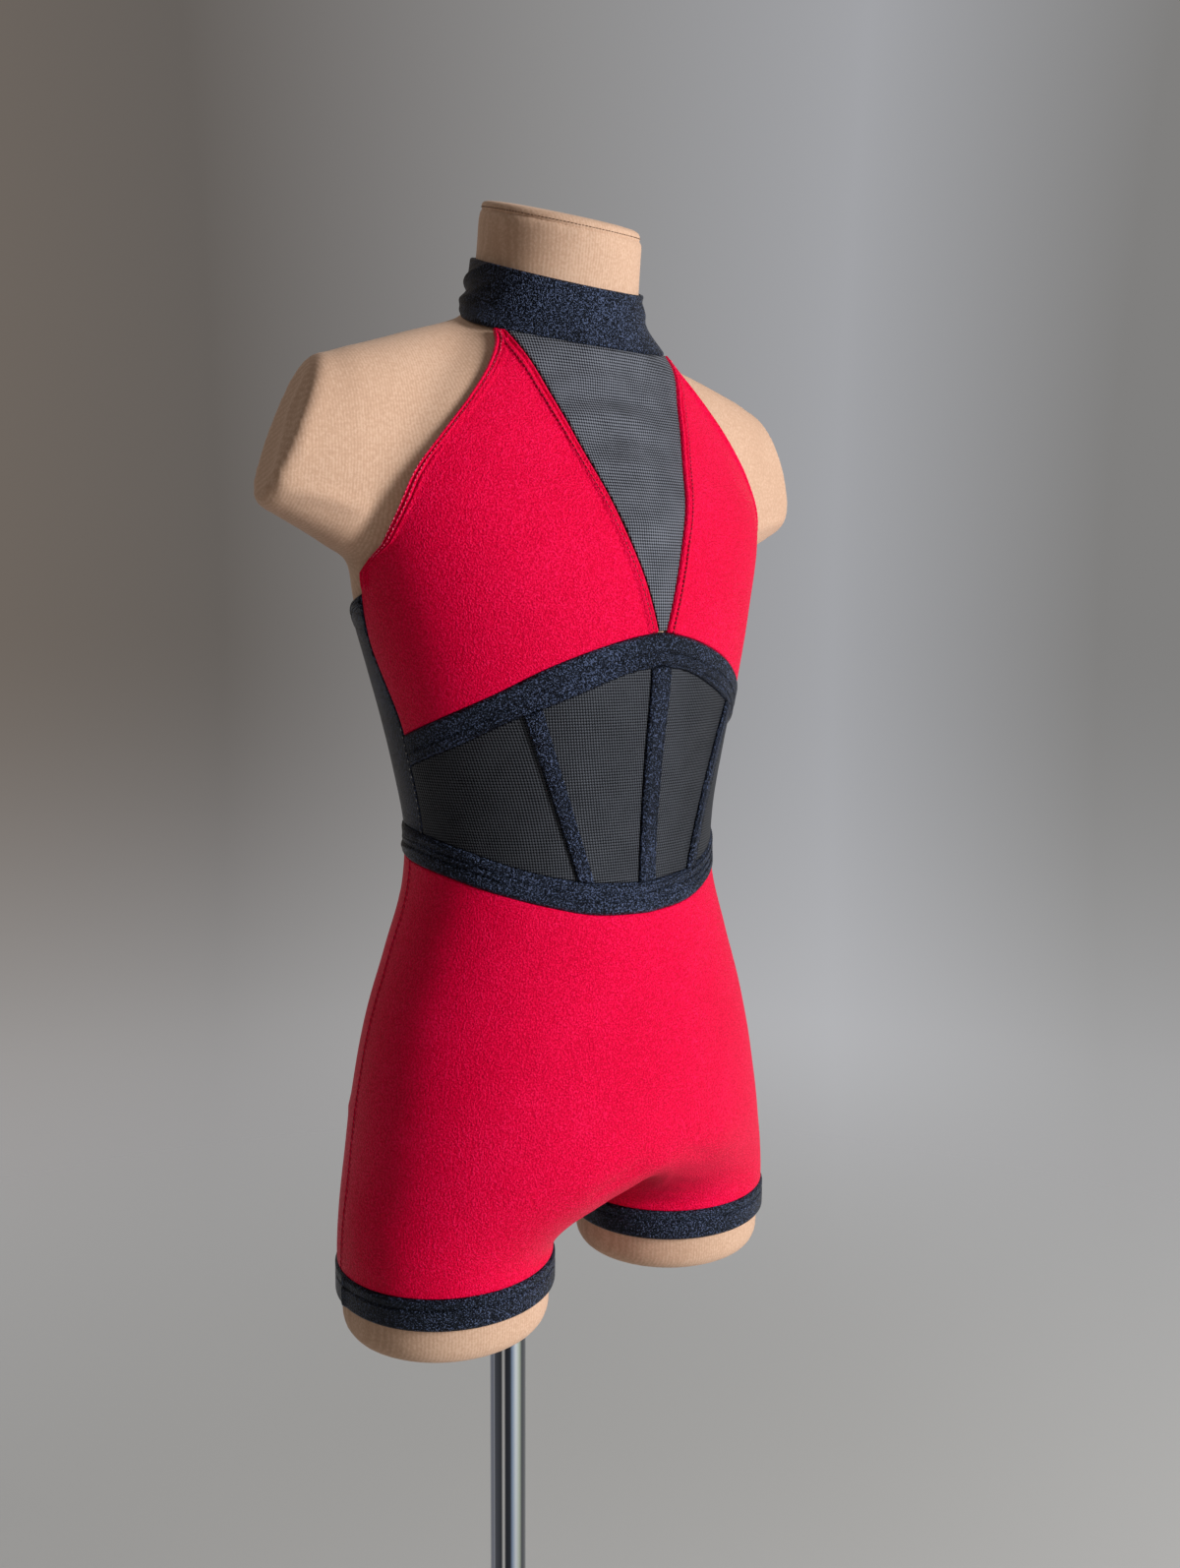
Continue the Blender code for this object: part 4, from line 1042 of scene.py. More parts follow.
@dataclass
class Stitching:
    """Rows of stitches along lines on the cloth, made by Geometry Nodes."""

    pitch: float = 0.0026
    length: float = 0.0019
    width: float = 0.00042
    zigzag: float = 0.0         # degrees that every other stitch turns
    seed: int = 7

    def tree(self, material: bpy.types.Material) -> bpy.types.NodeTree:
        """Build the tree that lays stitches along the edges of a mesh."""
        tree = bpy.data.node_groups.new("stitch_rows", "GeometryNodeTree")
        face = tree.interface
        face.new_socket("Lines", in_out="INPUT", socket_type="NodeSocketGeometry")
        for name in ("Pitch", "Stitch length", "Thread width", "Zigzag turn"):
            face.new_socket(name, in_out="INPUT", socket_type="NodeSocketFloat")
        face.new_socket("Seed", in_out="INPUT", socket_type="NodeSocketInt")
        face.new_socket("Thread", in_out="INPUT", socket_type="NodeSocketMaterial")
        face.new_socket("Stitches", in_out="OUTPUT", socket_type="NodeSocketGeometry")
        given = add_node(tree, "NodeGroupInput")
        curve = add_node(tree, "GeometryNodeMeshToCurve", {"Mesh": given.outputs["Lines"]})
        points = add_node(tree, "GeometryNodeResampleCurve", {
            "Curve": curve.outputs["Curve"], "Length": given.outputs["Pitch"]}, mode="LENGTH")
        tangent = add_node(tree, "GeometryNodeInputTangent")
        outward = add_node(tree, "GeometryNodeInputNamedAttribute", {"Name": "outward"},
                           data_type="FLOAT_VECTOR")
        along = add_node(tree, "FunctionNodeAlignRotationToVector", {
            "Vector": tangent.outputs["Tangent"]}, axis="X")
        upright = add_node(tree, "FunctionNodeAlignRotationToVector", {
            "Rotation": along.outputs["Rotation"], "Vector": outward.outputs["Attribute"]},
            axis="Z", pivot_axis="X")
        index = add_node(tree, "GeometryNodeInputIndex")
        odd = add_node(tree, "ShaderNodeMath", {0: index.outputs["Index"], 1: 2.0},
                       operation="MODULO")
        sign = add_node(tree, "ShaderNodeMath", {0: odd.outputs[0], 1: 2.0, 2: -1.0},
                        operation="MULTIPLY_ADD")
        jitter = add_node(tree, "FunctionNodeRandomValue", {
            2: -0.07, 3: 0.07, "Seed": given.outputs["Seed"]}, data_type="FLOAT")
        turn = add_node(tree, "ShaderNodeMath", {0: sign.outputs[0],
                                                 1: given.outputs["Zigzag turn"],
                                                 2: jitter.outputs[1]},
                        operation="MULTIPLY_ADD")
        spin = add_node(tree, "ShaderNodeCombineXYZ", {"Z": turn.outputs[0]})
        spun = add_node(tree, "FunctionNodeEulerToRotation", {"Euler": spin.outputs["Vector"]})
        laid = add_node(tree, "FunctionNodeRotateRotation", {
            "Rotation": upright.outputs["Rotation"],
            "Rotate By": spun.outputs["Rotation"]}, rotation_space="LOCAL")
        stitch = add_node(tree, "GeometryNodeMeshUVSphere", {"Segments": 6, "Rings": 4,
                                                             "Radius": 0.5})
        size = add_node(tree, "ShaderNodeCombineXYZ", {
            "X": given.outputs["Stitch length"], "Y": given.outputs["Thread width"],
            "Z": given.outputs["Thread width"]})
        placed = add_node(tree, "GeometryNodeInstanceOnPoints", {
            "Points": points.outputs["Curve"], "Instance": stitch.outputs["Mesh"],
            "Rotation": laid.outputs["Rotation"], "Scale": size.outputs["Vector"]})
        real = add_node(tree, "GeometryNodeRealizeInstances", {
            "Geometry": placed.outputs["Instances"]})
        dressed = add_node(tree, "GeometryNodeSetMaterial", {
            "Geometry": real.outputs["Geometry"], "Material": given.outputs["Thread"]})
        add_node(tree, "NodeGroupOutput", {"Stitches": dressed.outputs["Geometry"]})
        return tree

    def make(self, name: str, rows: Sequence[Array], on: Sequence[bpy.types.Object],
             material: bpy.types.Material, slot: str) -> bpy.types.Object:
        """Sew rows of stitches onto the outer faces of some pieces.

        Args:
            name: the name of the stitches.
            rows: the points of each row, near the cloth.
            on: the pieces that they are sewn to.
            material: the thread.
            slot: not used.

        Returns:
            The stitches, as a plain mesh.
        """
        surface = surface_of(on)
        verts, edges, normals = [], [], []
        for row in rows:
            start = len(verts)
            for point in row:
                guess = Vector(point)
                away = Vector((guess.x, guess.y - FIGURE_Y, 0.0)).normalized() * 0.004
                place, normal, _, _ = surface.find_nearest(guess + away)
                verts.append(place + normal * self.width * 0.12)
                normals.append(normal)
            edges += [(i, i + 1) for i in range(start, len(verts) - 1)]
        lines = bpy.data.meshes.new(name + "_lines")
        lines.from_pydata(verts, edges, [])
        kept = lines.attributes.new("outward", "FLOAT_VECTOR", "POINT")
        kept.data.foreach_set("vector", np.array(normals, np.float32).reshape(-1))
        source = linked(name + "_lines", lines)
        sewing = source.modifiers.new("stitches", "NODES")
        sewing.node_group = self.tree(material)
        values = {"Pitch": self.pitch, "Stitch length": self.length,
                  "Thread width": self.width, "Zigzag turn": math.radians(self.zigzag),
                  "Seed": self.seed, "Thread": material}
        for socket in sewing.node_group.interface.items_tree:
            if socket.in_out == "INPUT" and socket.name in values:
                sewing[socket.identifier] = values[socket.name]
        ready = source.evaluated_get(bpy.context.evaluated_depsgraph_get())
        data = bpy.data.meshes.new_from_object(ready)
        source.modifiers.clear()
        bpy.data.objects.remove(source)
        data.name = name
        return finish_piece(name, data, material)


def surface_of(items: Sequence[bpy.types.Object]) -> BVHTree:
    """Return the joined surface of some pieces, to find its nearest points."""
    verts: list[Vector] = []
    faces: list[tuple[int, ...]] = []
    for item in items:
        first = len(verts)
        verts += [v.co.copy() for v in item.data.vertices]
        faces += [tuple(first + i for i in p.vertices) for p in item.data.polygons]
    return BVHTree.FromPolygons(verts, faces)


def hem_relief(side: Side, width: float, rise: float,
               rows: Sequence[float]) -> Relief:
    """Return the relief of a turned hem with grooves under its stitches.

    Args:
        side: the side that is turned.
        width: how wide the hem is.
        rise: how far the turned layer stands out.
        rows: how far in each row of stitches lies.

    Returns:
        A function of the distances from the sides.
    """
    def relief(away: dict[Side, Array]) -> Array:
        """Return how far the hem stands out.

        Args:
            away: each point's distance from each side.

        Returns:
            How far, above the face.
        """
        distance = away[side]
        height = rise * (1 - smooth_step(width - 0.0002, width + 0.0012, distance))
        for row in rows:
            groove = np.exp(-((distance - row) / GROOVE_WIDTH) ** 2)
            height = height - GROOVE_SHARE * rise * groove
        return height
    return relief


# Sewn pieces


def torso_patch(torso: Torso, bottom: Callable, top: Callable, left: Callable,
                right: Callable, across: Array, up: Array) -> Array:
    """Fill four edges, given as angles and heights, with points on the form.

    Args:
        torso: the form.
        bottom: the edge at the foot, by the share across.
        top: the edge at the head, by the share across.
        left: the edge at the first side, by the share up.
        right: the edge at the last side, by the share up.
        across: the shares of the columns.
        up: the shares of the rows.

    Returns:
        The points, row by row.
    """
    s, t = across[None, :, None], up[:, None, None]
    low, high = np.stack(bottom(across), -1)[None], np.stack(top(across), -1)[None]
    first, last = np.stack(left(up), -1)[:, None], np.stack(right(up), -1)[:, None]
    corners = ((1 - s) * (1 - t) * low[:, :1] + s * (1 - t) * low[:, -1:]
               + (1 - s) * t * high[:, :1] + s * t * high[:, -1:])
    flat = (1 - t) * low + t * high + (1 - s) * first + s * last - corners
    return torso.point(flat[..., 0], flat[..., 1])


def ring_crease(torso: Torso, row: Sequence[float], width: float) -> Crease:
    """Lay a crease around the form.

    Args:
        torso: the form.
        row: its middle's angle and height, half its length in degrees, depth and slant.
        width: its width.

    Returns:
        The crease.
    """
    angle, height, half, depth, slant = row
    turns = np.linspace(-half, half, 7)
    path = torso.point(angle + turns, height + slant * turns / half)
    return Crease(path, width, depth)


@dataclass
class Unitard:
    """The sizes that all of the unitard's pieces share."""

    torso: Torso
    lines: SeamLines
    legs: Legs
    finishes: Finishes
    cloth_wall: float = 0.0013
    mesh_wall: float = 0.0010
    band_wall: float = 0.0019
    channel_wall: float = 0.0016
    lift: float = 0.0012
    seam_angle: float = 0.09
    step: float = 0.0028

    def strip(self, low: Callable, high: Callable, first: float, last: float,
              sides: tuple[Side, ...], step: Optional[float] = None,
              relief: Optional[Relief] = None) -> ClothGrid:
        """Lay a strip between two height curves, from one angle to another.

        Args:
            low: the height of the lower edge, by angle.
            high: the height of the upper edge, by angle.
            first: the angle at which it starts.
            last: the angle at which it ends.
            sides: its open sides.
            step: the distance between points along it.
            relief: the relief of its outer face.

        Returns:
            The strip.
        """
        middle = (first + last) / 2
        probe = self.torso.point(np.linspace(first, last, 60), low(np.linspace(first, last, 60)))
        length = float(np.linalg.norm(np.diff(probe, axis=0), axis=1).sum())
        tall = float(high(middle) - low(middle))
        across = spaced(length, step or self.step, Side.LEFT in sides, Side.RIGHT in sides)
        up = spaced(tall, min(step or self.step, tall / 32), Side.BOTTOM in sides,
                    Side.TOP in sides)
        angle = first + (last - first) * across[None, :]
        bottom, top = low(angle), high(angle)
        return ClothGrid(self.torso.point(angle, bottom + up[:, None] * (top - bottom)), sides,
                         relief)


@dataclass
class Collar:
    """The stand collar: a doubled black band, wrinkled where the neck turns."""

    base: Unitard
    folds: tuple[tuple[float, float, float, float, float], ...] = (
        # angle at its middle, height, half length in degrees, depth, slant
        (-112, 1.1050, 34, 0.0020, 0.0030), (-118, 1.0995, 30, -0.0014, 0.0010),
        (-108, 1.0925, 30, 0.0016, -0.0030), (-80, 1.0965, 22, 0.0007, 0.0040),
        (-66, 1.0850, 18, -0.0005, 0.0030), (50, 1.0965, 24, -0.0009, 0.0020),
        (58, 1.0890, 22, 0.0008, -0.0015), (118, 1.1010, 30, 0.0015, 0.0025),
        (108, 1.0930, 26, 0.0012, -0.0020), (170, 1.0990, 26, 0.0007, 0.0020),
    )

    def make(self) -> bpy.types.Object:
        """Build the collar."""
        lines, torso = self.base.lines, self.base.torso
        grid = self.base.strip(
            lambda a: lines.collar_edge(lines.collar_bottom, lines.collar_bottom_dip, a),
            lambda a: lines.collar_edge(lines.collar_top, lines.collar_top_dip, a),
            0.0, 360.0, (Side.BOTTOM, Side.TOP), 0.0018)
        creases = [ring_crease(torso, row, 0.0024) for row in self.folds]
        cloth = Cloth("collar_band", "collar", "black_spandex", self.base.finishes.black,
                      [grid], self.base.band_wall, creases=creases)
        item = cloth.make()
        cloth.declare()
        return item


@dataclass
class Yoke:
    """The net insert in the V between the bust panels."""

    base: Unitard
    foot: float = 0.9124
    foot_angle: float = 0.4
    # Each fold: first and last angle, height of its ends, rise of its middle, width, depth
    folds: tuple[tuple[float, float, float, float, float, float], ...] = (
        (-25, 17, 1.0380, 0.0080, 0.0050, 0.0015), (-21, 12, 1.0195, 0.0070, 0.0046, 0.0013),
        (-17, 10, 0.9950, 0.0050, 0.0050, 0.0011), (-10, 4, 0.9650, 0.0030, 0.0060, 0.0010),
        (-22, 19, 1.0290, 0.0060, 0.0036, -0.0008), (-15, 12, 1.0080, 0.0060, 0.0040, -0.0008),
    )

    def make(self) -> bpy.types.Object:
        """Build the insert."""
        lines = self.base.lines
        edge_top = float(lines.collar_foot(lines.v_angle(lines.apex)))

        def side_angle(height: Array) -> Array:
            """Return the angle of the insert's side at a height."""
            return np.maximum(lines.v_angle(height) - 3 * self.base.seam_angle, self.foot_angle)

        def bottom(s: Array) -> tuple[Array, Array]:
            """Return the angles and heights along the lower end."""
            return (2 * s - 1) * side_angle(self.foot), np.full_like(s, self.foot)

        def top(s: Array) -> tuple[Array, Array]:
            """Return the angles and heights along the upper edge."""
            angle = (2 * s - 1) * side_angle(edge_top)
            return angle, lines.collar_foot(angle)

        def right(t: Array) -> tuple[Array, Array]:
            """Return the angles and heights up the side with the higher angles."""
            height = self.foot + t * (edge_top - self.foot)
            return side_angle(height), height

        def left(t: Array) -> tuple[Array, Array]:
            """Return the angles and heights up the other side."""
            angle, height = right(t)
            return -angle, height

        across, up = spaced(0.10, 0.0024, False, False), spaced(0.16, 0.0020, False, False)
        points = torso_patch(self.base.torso, bottom, top, left, right, across, up)
        creases = []
        for first, last, height, rise, width, depth in self.folds:
            share = np.linspace(0.0, 1.0, 7)
            path = self.base.torso.point(first + (last - first) * share,
                                         height + rise * np.sin(math.pi * share))
            creases.append(Crease(path, width, depth))
        cloth = Cloth("yoke_net", "yoke_mesh", "black_mesh", self.base.finishes.yoke_net,
                      [ClothGrid(points)], self.base.mesh_wall, lift=self.base.lift + 0.0003,
                      creases=creases)
        item = cloth.make()
        cloth.declare()
        return item


@dataclass
class BustPanels:
    """The two red bust panels, with turned hems at the V and the armhole."""

    base: Unitard
    v_hem: float = 0.0056
    armhole_hem: float = 0.0066
    hem_rise: float = 0.00110
    v_rows: tuple[float, ...] = (0.0032,)
    armhole_rows: tuple[float, ...] = (0.0028, 0.0056)

    def grid(self, side: int) -> ClothGrid:
        """Return the grid of one panel, from the V edge to the armhole."""
        lines, seam = self.base.lines, self.base.seam_angle
        low_top = float(lines.collar_foot(lines.v_angle(lines.apex)))
        high_top = float(lines.collar_foot(lines.armhole_angle(lines.apex)))
        low_bottom = float(lines.height("band_top", lines.v_angle(lines.v_foot)))
        high_bottom = float(lines.height("band_top", lines.side_seam))

        def bottom(s: Array) -> tuple[Array, Array]:
            """Return the angles and heights along the band below.

            Args:
                s: the share of the way along it, at each point.

            Returns:
                The angles and the heights.
            """
            first, last = lines.v_angle(lines.v_foot) + seam, lines.side_seam - seam
            angle = first + s * (last - first)
            return side * angle, lines.height("band_top", angle)

        def top(s: Array) -> tuple[Array, Array]:
            """Return the angles and heights along the upper edge.

            Args:
                s: the share of the way along it, at each point.

            Returns:
                The angles and the heights.
            """
            first = lines.v_angle(low_top) + 3 * seam
            last = lines.armhole_angle(high_top)
            return side * (first + s * (last - first)), low_top + s * (high_top - low_top)

        def left(t: Array) -> tuple[Array, Array]:
            """Return the angles and heights up the edge at the insert."""
            height = low_bottom + t * (low_top - low_bottom)
            return side * (lines.v_angle(height) + seam * (1 + 2 * t)), height

        def right(t: Array) -> tuple[Array, Array]:
            """Return the angles and heights up the edge at the armhole."""
            height = high_bottom + t * (high_top - high_bottom)
            return side * (lines.armhole_angle(height) - seam * (1 - t)), height

        across = spaced(0.085, 0.0017, True, True)
        up = spaced(0.17, 0.0026, True, True)
        points = torso_patch(self.base.torso, bottom, top, left, right, across, up)
        v_side = hem_relief(Side.LEFT, self.v_hem, self.hem_rise, self.v_rows)
        armhole = hem_relief(Side.RIGHT, self.armhole_hem, self.hem_rise, self.armhole_rows)
        below_arm = smooth_step(lines.underarm - 0.002, lines.underarm + 0.004, points[..., 2])

        def relief(away: dict[Side, Array]) -> Array:
            """Return how far the turned edges stand out."""
            return np.maximum(v_side(away), armhole(away) * below_arm)

        return ClothGrid(points, (Side.LEFT, Side.RIGHT, Side.BOTTOM, Side.TOP), relief)

    def make(self) -> list[bpy.types.Object]:
        """Build both panels and sew them."""
        made = []
        for side, name in ((-1, "bust_right"), (1, "bust_left")):
            grid = self.grid(side)
            cloth = Cloth(name + "_panel", name, "red_spandex", self.base.finishes.red, [grid],
                          self.base.cloth_wall, lift=self.base.lift)
            item = cloth.make()
            rows = [grid.line(Side.RIGHT, d, 0.46, 0.985) for d in self.armhole_rows]
            # The hem's stitches use the red thread painted pink for its highlights.
            cover = Stitching(pitch=0.0024, length=0.0019, width=0.00050, zigzag=18).make(
                name + "_hem_stitches", rows, [item], self.base.finishes.pink_thread,
                "red_spandex")
            edge = [grid.line(Side.LEFT, d, 0.01, 0.97) for d in self.v_rows]
            top = Stitching(pitch=0.0026, length=0.0023, width=0.00070).make(
                name + "_edge_stitches", edge, [item], self.base.finishes.red_thread,
                "red_spandex")
            cloth.declare()
            made.append(item)
        return made


@dataclass
class Bands:
    """The band under the bust and the waistband, black cloth over elastic."""

    base: Unitard
    under_rows: tuple[float, ...] = (0.0105, 0.0165)
    waist_rows: tuple[float, ...] = (0.0014, 0.0062, 0.0102)
    ripples: tuple[tuple[float, float, float], ...] = (
        # angle, height, depth of each short wrinkle of the waistband
        (-101, 0.7990, 0.0011), (-106, 0.7930, 0.0012), (-99, 0.8060, 0.0009),
        (101, 0.7985, 0.0010), (107, 0.7925, 0.0011), (150, 0.7970, 0.0006),
        (-150, 0.7975, 0.0006),
    )

    def make(self) -> list[bpy.types.Object]:
        """Build both bands and sew them."""
        base, lines = self.base, self.base.lines
        end = lines.side_seam - base.seam_angle
        around = (Side.BOTTOM, Side.TOP)
        under = base.strip(
            lambda a: lines.height("band_bottom", a), lambda a: lines.height("band_top", a),
            -end, end, (*around, Side.LEFT, Side.RIGHT), None,
            hem_relief(Side.TOP, 0.0600, 0.0006, self.under_rows))
        waist = base.strip(
            lambda a: lines.height("waist_bottom", a), lambda a: lines.height("waist_top", a),
            0.0, 360.0, around, None,
            hem_relief(Side.TOP, 0.0600, 0.0006, self.waist_rows))
        wrinkles = []
        for angle, height, depth in self.ripples:
            path = base.torso.point(angle + np.linspace(-11, 11, 5),
                                    height + np.linspace(-0.001, 0.001, 5))
            wrinkles.append(Crease(path, 0.0022, depth))
        made = []
        for name, node, grid, creases, rows in (
                ("underbust_elastic_band", "underbust_band", under, [], self.under_rows),
                ("waist_elastic_band", "waistband", waist, wrinkles, self.waist_rows)):
            cloth = Cloth(name, node, "black_spandex", base.finishes.black, [grid],
                          base.band_wall, creases=creases)
            item = cloth.make()
            stitches = Stitching(pitch=0.0030, length=0.0022, width=0.00042).make(
                name + "_stitches", [grid.line(Side.TOP, d) for d in rows], [item],
                base.finishes.black_thread, "black_spandex")
            cloth.declare()
            made.append(item)
        return made


@dataclass
class Bodice:
    """The boned net bodice: four net panels and three bone channels."""

    base: Unitard
    middle: float = 0.830
    channel_width: float = 0.0100
    centre_width: float = 0.0120

    def height(self, share: Any, angle: Any) -> Array:
        """Return the height at a share of the way up the bodice."""
        lines = self.base.lines
        low = lines.height("waist_top", angle)
        high = lines.height("band_bottom", angle)
        return low + share * (high - low)

    def seam(self, angle_at: Callable, share: Any) -> Array:
        """Return a seam's angle at a share of the way up."""
        return angle_at(self.height(share, angle_at(self.middle)))

    def panel(self, first: Callable, last: Callable, columns: int) -> ClothGrid:
        """Return the grid of one net panel between two seams."""
        up = spaced(0.09, 0.0030, True, True)
        across = np.linspace(0.0, 1.0, columns + 1)
        a = self.seam(first, up) + self.base.seam_angle
        b = self.seam(last, up) - self.base.seam_angle
        angle = a[:, None] + (b - a)[:, None] * across[None, :]
        return ClothGrid(self.base.torso.point(angle, self.height(up[:, None], angle)),
                         (Side.BOTTOM, Side.TOP))

    def channel(self, angle_at: Callable, width: float) -> ClothGrid:
        """Return the grid of one bone channel, centred on a seam."""
        up = spaced(0.095, 0.0030, True, True)
        across = spaced(width, 0.0006, True, True)
        half = math.degrees(width / 2 / float(self.base.torso.half_width(self.middle)))
        angle = self.seam(angle_at, up)[:, None] + half * (2 * across[None, :] - 1)

        def relief(away: dict[Side, Array]) -> Array:
            """Return how far the tape stands out.

            Args:
                away: each point's distance from each side.

            Returns:
                How far, above the face.
            """
            inside = np.minimum(away[Side.LEFT], away[Side.RIGHT])
            return (0.0004 * smooth_step(0.0016, 0.0030, inside)
                    - 0.0002 * np.exp(-((inside - 0.0015) / 0.0005) ** 2))

        return ClothGrid(self.base.torso.point(angle, self.height(up[:, None], angle)),
                         (Side.LEFT, Side.RIGHT, Side.BOTTOM, Side.TOP), relief)

    def make(self) -> None:
        """Build the panels and the channels and sew them."""
        base, lines = self.base, self.base.lines

        def right_side(height: Array) -> Array:
            """Return the angle of the right side seam."""
            return np.full_like(np.asarray(height, float), -lines.side_seam)

        def right_bone(height: Array) -> Array:
            """Return the angle of the right bone channel."""
            return -lines.bone_angle(height)

        def centre(height: Array) -> Array:
            """Return the angle of the centre line."""
            return np.zeros_like(np.asarray(height, float))

        def left_side(height: Array) -> Array:
            """Return the angle of the left side seam."""
            return np.full_like(np.asarray(height, float), lines.side_seam)

        for place, first, last, columns in (
                ("side_right", right_side, right_bone, 30),
                ("front_right", right_bone, centre, 24),
                ("front_left", centre, lines.bone_angle, 24),
                ("side_left", lines.bone_angle, left_side, 30)):
            grid = self.panel(first, last, columns)
            cloth = Cloth("bodice_net_" + place, "bodice_mesh_" + place, "black_mesh",
                          base.finishes.bodice_net, [grid], base.mesh_wall, lift=base.lift)
            item = cloth.make()
            cloth.declare()
        for place, angle_at, width in (("right", right_bone, self.channel_width),
                                       ("centre", centre, self.centre_width),
                                       ("left", lines.bone_angle, self.channel_width)):
            grid = self.channel(angle_at, width)
            name = "bone_channel_" + place
            cloth = Cloth(name + "_tape", name, "black_spandex", base.finishes.black, [grid],
                          base.channel_wall, lift=base.lift + base.mesh_wall + 0.0003,
                          stretch_around=1.0, stretch_along=1.0)
            item = cloth.make()
            rows = [grid.line(side, 0.0015, 0.02, 0.98) for side in (Side.LEFT, Side.RIGHT)]
            stitches = Stitching(pitch=0.0028, length=0.0021, width=0.00040).make(
                name + "_stitches", rows, [item], base.finishes.black_thread, "black_spandex")
            cloth.declare()


@dataclass
class BackPanel:
    """The low black back, wrinkled at its top corners where the elastic pulls."""

    base: Unitard
    hem: float = 0.0070
    rows: tuple[float, ...] = (0.0030, 0.0058)
    side_row: float = 0.0012
    edge_rounds: int = 6        # rounds that settle where the edge lies on the slanting row

    def make(self) -> bpy.types.Object:
        """Build the panel and sew its seams."""
        base, lines = self.base, self.base.lines

        def height(share: Array, angle: Array) -> Array:
            """Return the height of a row of the panel."""
            low, high = lines.height("waist_top", angle), lines.height("back_top", angle)
            return low + share * (high - low)

        across, up = spaced(0.19, 0.0030, True, True), spaced(0.13, 0.0028, True, True)
        start = np.full_like(up, lines.side_seam)
        for _ in range(self.edge_rounds):
            start = lines.tables["swing"](height(up, start))[..., 0] + base.seam_angle
        angle = start[:, None] + (360 - 2 * start[:, None]) * across[None, :]
        grid = ClothGrid(base.torso.point(angle, height(up[:, None], angle)),
                         (Side.LEFT, Side.RIGHT, Side.BOTTOM, Side.TOP),
                         hem_relief(Side.TOP, self.hem, 0.0006, self.rows))
        creases = []
        for mirror in (1, -1):
            for angle, height, depth in ((94, 0.9270, 0.0013), (95, 0.9205, 0.0012),
                                         (94, 0.9130, 0.0008), (97, 0.8990, 0.0004)):
                turns = np.linspace(-5, 9, 5)
                path = base.torso.point(mirror * (angle + turns), height - 0.00030 * turns)
                creases.append(Crease(path, 0.0024, depth))
        cloth = Cloth("back_panel_cloth", "back_panel", "black_spandex", base.finishes.black,
                      [grid], base.cloth_wall, lift=base.lift, creases=creases)
        item = cloth.make()
        top = Stitching(pitch=0.0026, length=0.0019, width=0.00042, zigzag=14).make(
            "back_hem_stitches", [grid.line(Side.TOP, d) for d in self.rows], [item],
            base.finishes.black_thread, "black_spandex")
        sides = [grid.line(side, self.side_row, 0.02, 0.46) for side in (Side.LEFT, Side.RIGHT)]
        seam = Stitching(pitch=0.0042, length=0.0014, width=0.00034).make(
            "back_side_stitches", sides, [item], base.finishes.pale_thread, "black_spandex")
        cloth.declare()
        return item


